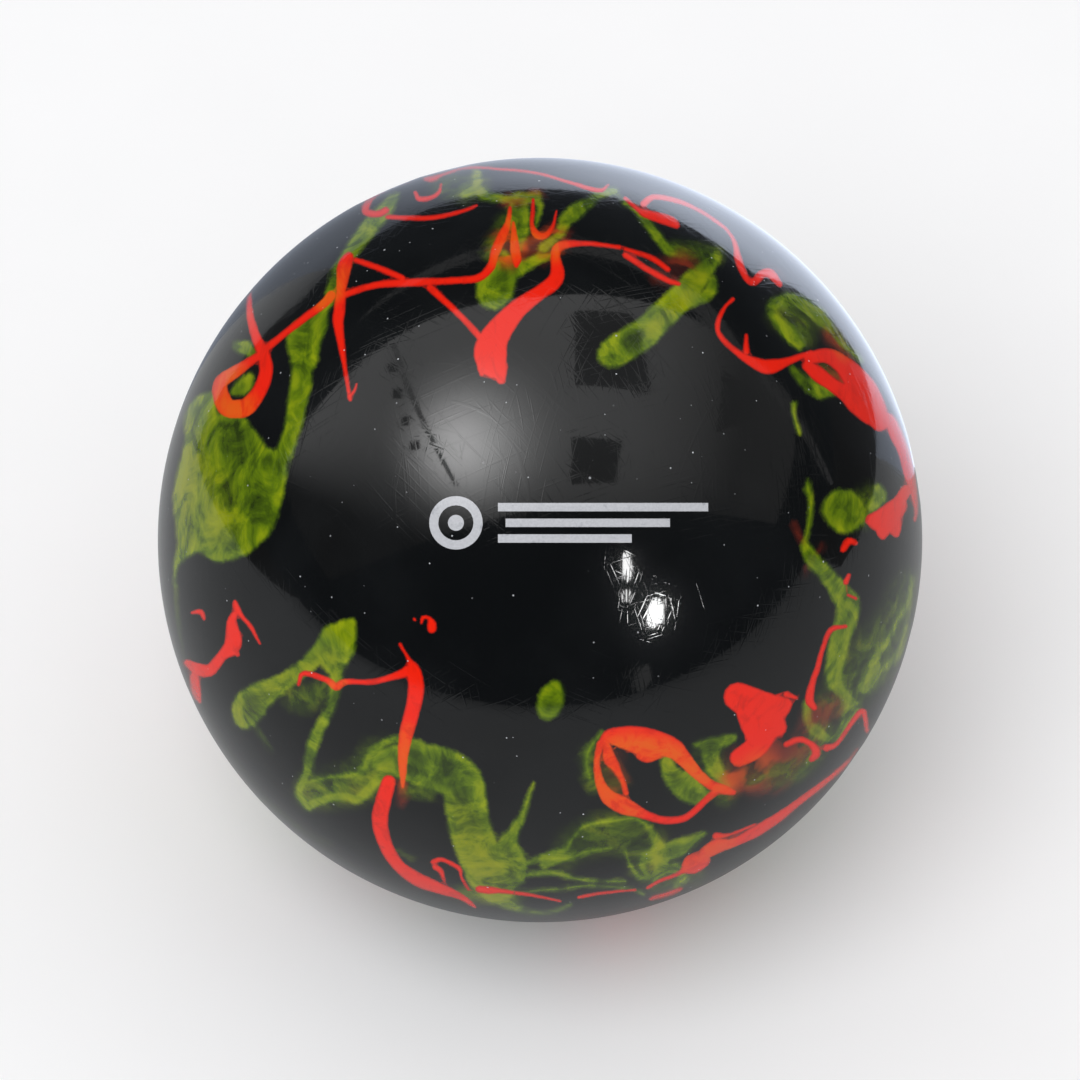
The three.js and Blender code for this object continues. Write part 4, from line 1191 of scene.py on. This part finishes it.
def cork_composite():
    """Cork granules bound in dark rubber."""
    shader = Shader("cork_composite")
    cell = shader.cells(420)
    granule = shader.mix(shader.first_channel(cell), CORK, CORK_LIGHT)
    edge = shader.cells(420, feature="DISTANCE_TO_EDGE").outputs["Distance"]
    inside = shader.ramp(edge, 0.02, 0.12)
    pores = shader.ramp(shader.noise(2600, 3.0, 0.6), 0.35, 0.5)
    colour = shader.mix(inside, RUBBER_BINDER, shader.mix(pores, CORK, granule))
    roughness = shader.ramp(pores, 0.0, 1.0, 0.95, 0.75, smooth=False)
    return shader.surface(colour, roughness, shader.bump(inside, GRANULE_RELIEF), IOR=1.45)


# ---------------------------------------------------------------- the ball
def build_half(rear):
    """The solids of a half, by the CAD node that each one stands for."""
    directions, faces = meshed_half(rear)
    labels = labelled(directions, faces, rear)
    depth = inlay_depths(directions, faces, labels)
    cover = "cover_rear" if rear else "cover_front"
    solids = {cover: cover_solid(directions, faces, labels != cover, depth, rear)}
    for name in sorted(set(labels) - {cover}):
        solids[name] = inlay_solid(directions, faces[labels == name], depth)
    return solids


def add_half(rear, materials):
    solids = build_half(rear)
    for name, solid in solids.items():
        slot = slot_of(name)
        piece = add_piece(name + SUFFIX[slot], solid, materials[slot])
        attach(piece, "root")
        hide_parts(name)
        if slot == "cover":
            unmade = set(streak_nodes("red", rear) + streak_nodes("green", rear)) - set(solids)
            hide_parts(*sorted(unmade))


def add_ball():
    materials = {slot: marbled_plastic(name) for slot, name in MARBLED_SLOTS.items()}
    materials["print_ink"] = print_ink()
    add_half(False, materials)
    add_half(True, materials)
    for slot in frame["nodes"]["core"].material_slots:
        slot.material = cork_composite()


# ---------------------------------------------------------------- stage, lights and camera
def floor_material():
    """Pale and matt, and darker where the ball's gloss shows it."""
    shader = Shader("pale_floor")
    grain = shader.ramp(shader.noise(60, 3.0), 0.3, 0.7, 0.97, 1.0)
    in_gloss = shader.add("ShaderNodeLightPath").outputs["Is Glossy Ray"]
    tone = shader.mix(in_gloss, FLOOR_COLOUR, FLOOR_IN_GLOSS)
    return shader.surface(shader.mix(grain, FLOOR_GRAIN, tone), 0.8, IOR=1.1)


def add_floor():
    turn = np.arange(FLOOR_CORNERS) * 2 * math.pi / FLOOR_CORNERS
    rim = [(FLOOR_RADIUS * math.cos(t), FLOOR_RADIUS * math.sin(t), FLOOR_HEIGHT) for t in turn]
    mesh = bpy.data.meshes.new("floor")
    mesh.from_pydata(rim, [], [tuple(range(len(rim)))])
    mesh.materials.append(floor_material())
    linked("floor", mesh)


def aimed(thing, place, target):
    thing.location = place
    thing.rotation_euler = (Vector(target) - Vector(place)).to_track_quat("-Z", "Y").to_euler()


def add_soft_light(name, place, target, size, power):
    """Lights the matt surfaces only, so that it draws no shape in the gloss."""
    light = bpy.data.lights.new(name, "AREA")
    light.shape = "DISK"
    light.size = size
    light.energy = power
    lamp = linked(name, light)
    aimed(lamp, place, target)
    lamp.visible_glossy = False
    lamp.visible_camera = False


def mirrored(drawn):
    """The spots on the ball at places in the drawing, and which way the gloss looks from each."""
    normals = directions_of(*angles_of(np.array(drawn, dtype=float), False))
    spots = BALL_RADIUS * normals
    sight = unit(spots - VIEW_DISTANCE * FACING)
    return spots, sight - 2.0 * np.sum(sight * normals, axis=1)[:, None] * normals


def mirrored_at(drawn, height):
    """The points at one height that the gloss shows at places in the drawing."""
    spots, looks = mirrored(drawn)
    reach = (height - spots[:, 2]) / looks[:, 2]
    return [(float(x), float(y)) for x, y, _ in spots + reach[:, None] * looks]


def round_places(places):
    """Places given as (degrees round from the right, distance), as (across, up)."""
    turns = [math.radians(place[0]) for place in places]
    return [(place[1] * math.cos(t), place[1] * math.sin(t)) for place, t in zip(places, turns)]


def reflected_only(card):
    """A card that only the gloss shows."""
    card.visible_camera = False
    card.visible_diffuse = False
    card.visible_shadow = False
    card.visible_transmission = False


def flat_card(name, outline, height, material):
    add_card(name, [(x, y, height) for x, y in outline], material)


def add_card(name, corners, material, faces=None):
    mesh = bpy.data.meshes.new(name)
    mesh.from_pydata([tuple(corner) for corner in corners], [], faces or [tuple(range(len(corners)))])
    mesh.materials.append(material)
    reflected_only(linked(name, mesh))


def ceiling_glow():
    """The lit ceiling: dim all over, with the bounced light's soft pool on it."""
    shader = Shader("ceiling_glow")
    right, back = shader.right_and_back()
    centre = mirrored_at([GLOW_PLACE], CEILING_HEIGHT)[0]
    across = shader.math("SUBTRACT", right, centre[0])
    along = shader.math("SUBTRACT", back, centre[1])
    across2 = shader.math("MULTIPLY", across, across)
    squared = shader.math("MULTIPLY_ADD", along, along, across2)
    pool = shader.math("EXPONENT", shader.math("MULTIPLY", squared, -1.0 / (2 * GLOW_SPREAD**2)))
    nearness = shader.math("MULTIPLY_ADD", shader.math("MINIMUM", right, 0.0), 0.35, back)
    fade = shader.ramp(nearness, -1.5, -0.1, 0.1, 1.0)
    fade = shader.math("MULTIPLY", fade, shader.ramp(right, 0.1, 2.0, 1.0, 0.25))
    base = shader.math("MULTIPLY", fade, CEILING_LIGHT)
    return shader.glowing(shader.math("MULTIPLY_ADD", pool, GLOW_LIGHT, base))


def daylight():
    """Daylight on the table behind the ball, strongest to the right and a little way off."""
    shader = Shader("daylight")
    right, back = shader.right_and_back()
    bearing = shader.math("ARCTAN2", right, back)
    back2 = shader.math("MULTIPLY", back, back)
    away = shader.math("SQRT", shader.math("MULTIPLY_ADD", right, right, back2))
    strength = shader.ramp(bearing, -0.35, 0.40, 0.50, DAYLIGHT_STRENGTH)
    strength = shader.math("MULTIPLY", strength, shader.ramp(bearing, 0.72, 1.0, 1.0, 0.42))
    strength = shader.math("MULTIPLY", strength, shader.ramp(away, 0.08, 0.35, 0.7, 1.0))
    return shader.glowing(strength, DAYLIGHT_COLOUR)


def lamp_face(name, strength):
    return Shader(name).glowing(strength)


def add_lamp_card(name, top, bottom, width, strength):
    """A small bright oval a metre off, seen only as a highlight between two drawn places."""
    top, bottom = (Vector(look) for look in mirrored([top, bottom])[1])
    centre = (top + bottom) / 2
    up = (top - bottom) / 2
    right = up.cross(centre).normalized() * width / 2
    turns = [2 * math.pi * k / LAMP_CORNERS for k in range(LAMP_CORNERS)]
    corners = [centre + right * math.cos(turn) + up * math.sin(turn) for turn in turns]
    add_card(name, corners, lamp_face(name, strength))


def add_wall_strip():
    """A thin pale strip that runs round behind the ball and down on the right."""
    places = []
    looks = mirrored(round_places(WALL_STRIP))[1]
    for look, (_, _, half) in zip(looks, WALL_STRIP):
        turn = math.atan2(look[0], look[1])
        for side in (-half, half):
            rise = math.asin(look[2]) + math.radians(side)
            flat = WALL_DISTANCE * math.cos(rise)
            places.append((flat * math.sin(turn), flat * math.cos(turn), WALL_DISTANCE * math.sin(rise)))
    quads = [(i, i + 2, i + 3, i + 1) for i in range(0, len(places) - 2, 2)]
    add_card("wall_strip", places, lamp_face("pale_strip", STRIP_LIGHT), quads)


def background(tree, colour, strength):
    node = tree.nodes.new("ShaderNodeBackground")
    node.inputs["Color"].default_value = colour
    node.inputs["Strength"].default_value = strength
    return node.outputs[0]


def add_world():
    """Pale to the eye and for soft light all round, dark where the gloss would show it."""
    world = bpy.data.worlds.new("studio")
    world.use_nodes = True
    tree = world.node_tree
    tree.nodes.clear()
    path = tree.nodes.new("ShaderNodeLightPath")
    mixer = tree.nodes.new("ShaderNodeMixShader")
    output = tree.nodes.new("ShaderNodeOutputWorld")
    tree.links.new(path.outputs["Is Glossy Ray"], mixer.inputs[0])
    tree.links.new(background(tree, WHITE, AMBIENT_LIGHT), mixer.inputs[1])
    tree.links.new(background(tree, ROOM_COLOUR, ROOM_DARKNESS), mixer.inputs[2])
    tree.links.new(mixer.outputs[0], output.inputs["Surface"])
    bpy.context.scene.world = world


def block_corners(across, up):
    sides = [(-1, -1), (1, -1), (1, 1), (-1, 1)]
    return [(across + BLOCK_SIZE * right, up + BLOCK_SIZE * high) for right, high in sides]


def add_ceiling():
    flat_card("ceiling_card", CEILING_OUTLINE, CEILING_HEIGHT, ceiling_glow())
    panel = lamp_face("dark_panel", PANEL_LIGHT)
    for i, corners in enumerate(CEILING_PANELS + [block_corners(*block) for block in RAIL_BLOCKS]):
        flat_card(f"dark_panel_{i}", mirrored_at(corners, PANEL_HEIGHT), PANEL_HEIGHT, panel)
    rail = mirrored_at(CEILING_RAIL, PANEL_HEIGHT)
    flat_card("rail", rail, PANEL_HEIGHT, lamp_face("dark_rail", RAIL_LIGHT))


def add_table_light():
    dark = lamp_face("dark_end", DARK_END_LIGHT)
    for name, edge, far in DARK_ENDS:
        flat_card(name, mirrored_at(round_places(edge), DARK_HEIGHT) + far, DARK_HEIGHT, dark)
    flat_card("daylight", DAYLIGHT, CARD_HEIGHT, daylight())


def add_lights():
    add_ceiling()
    add_table_light()
    add_wall_strip()
    for lamp in LAMPS:
        add_lamp_card(*lamp)
    add_soft_light("key_light", KEY_PLACE, (0, 0, 0), KEY_SIZE, KEY_POWER)


def add_camera():
    camera = bpy.data.cameras.new("camera")
    camera.lens = LENS_MM
    camera.sensor_width = 36.0
    camera.clip_start = 0.01
    camera.clip_end = 20.0
    eye = linked("camera", camera)
    aimed(eye, Vector(FACING) * VIEW_DISTANCE, (0, 0, 0))
    bpy.context.scene.camera = eye


# ---------------------------------------------------------------- the scene
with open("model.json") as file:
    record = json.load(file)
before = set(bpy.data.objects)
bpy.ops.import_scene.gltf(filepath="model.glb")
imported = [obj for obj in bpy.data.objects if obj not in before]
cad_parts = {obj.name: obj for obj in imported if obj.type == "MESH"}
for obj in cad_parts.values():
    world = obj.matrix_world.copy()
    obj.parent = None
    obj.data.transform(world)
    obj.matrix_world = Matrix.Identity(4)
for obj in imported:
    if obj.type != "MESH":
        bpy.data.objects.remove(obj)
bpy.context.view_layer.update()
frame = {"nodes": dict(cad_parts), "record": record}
bpy.context.scene.view_settings.view_transform = "Standard"
add_camera()
add_world()
add_floor()
add_lights()
add_ball()
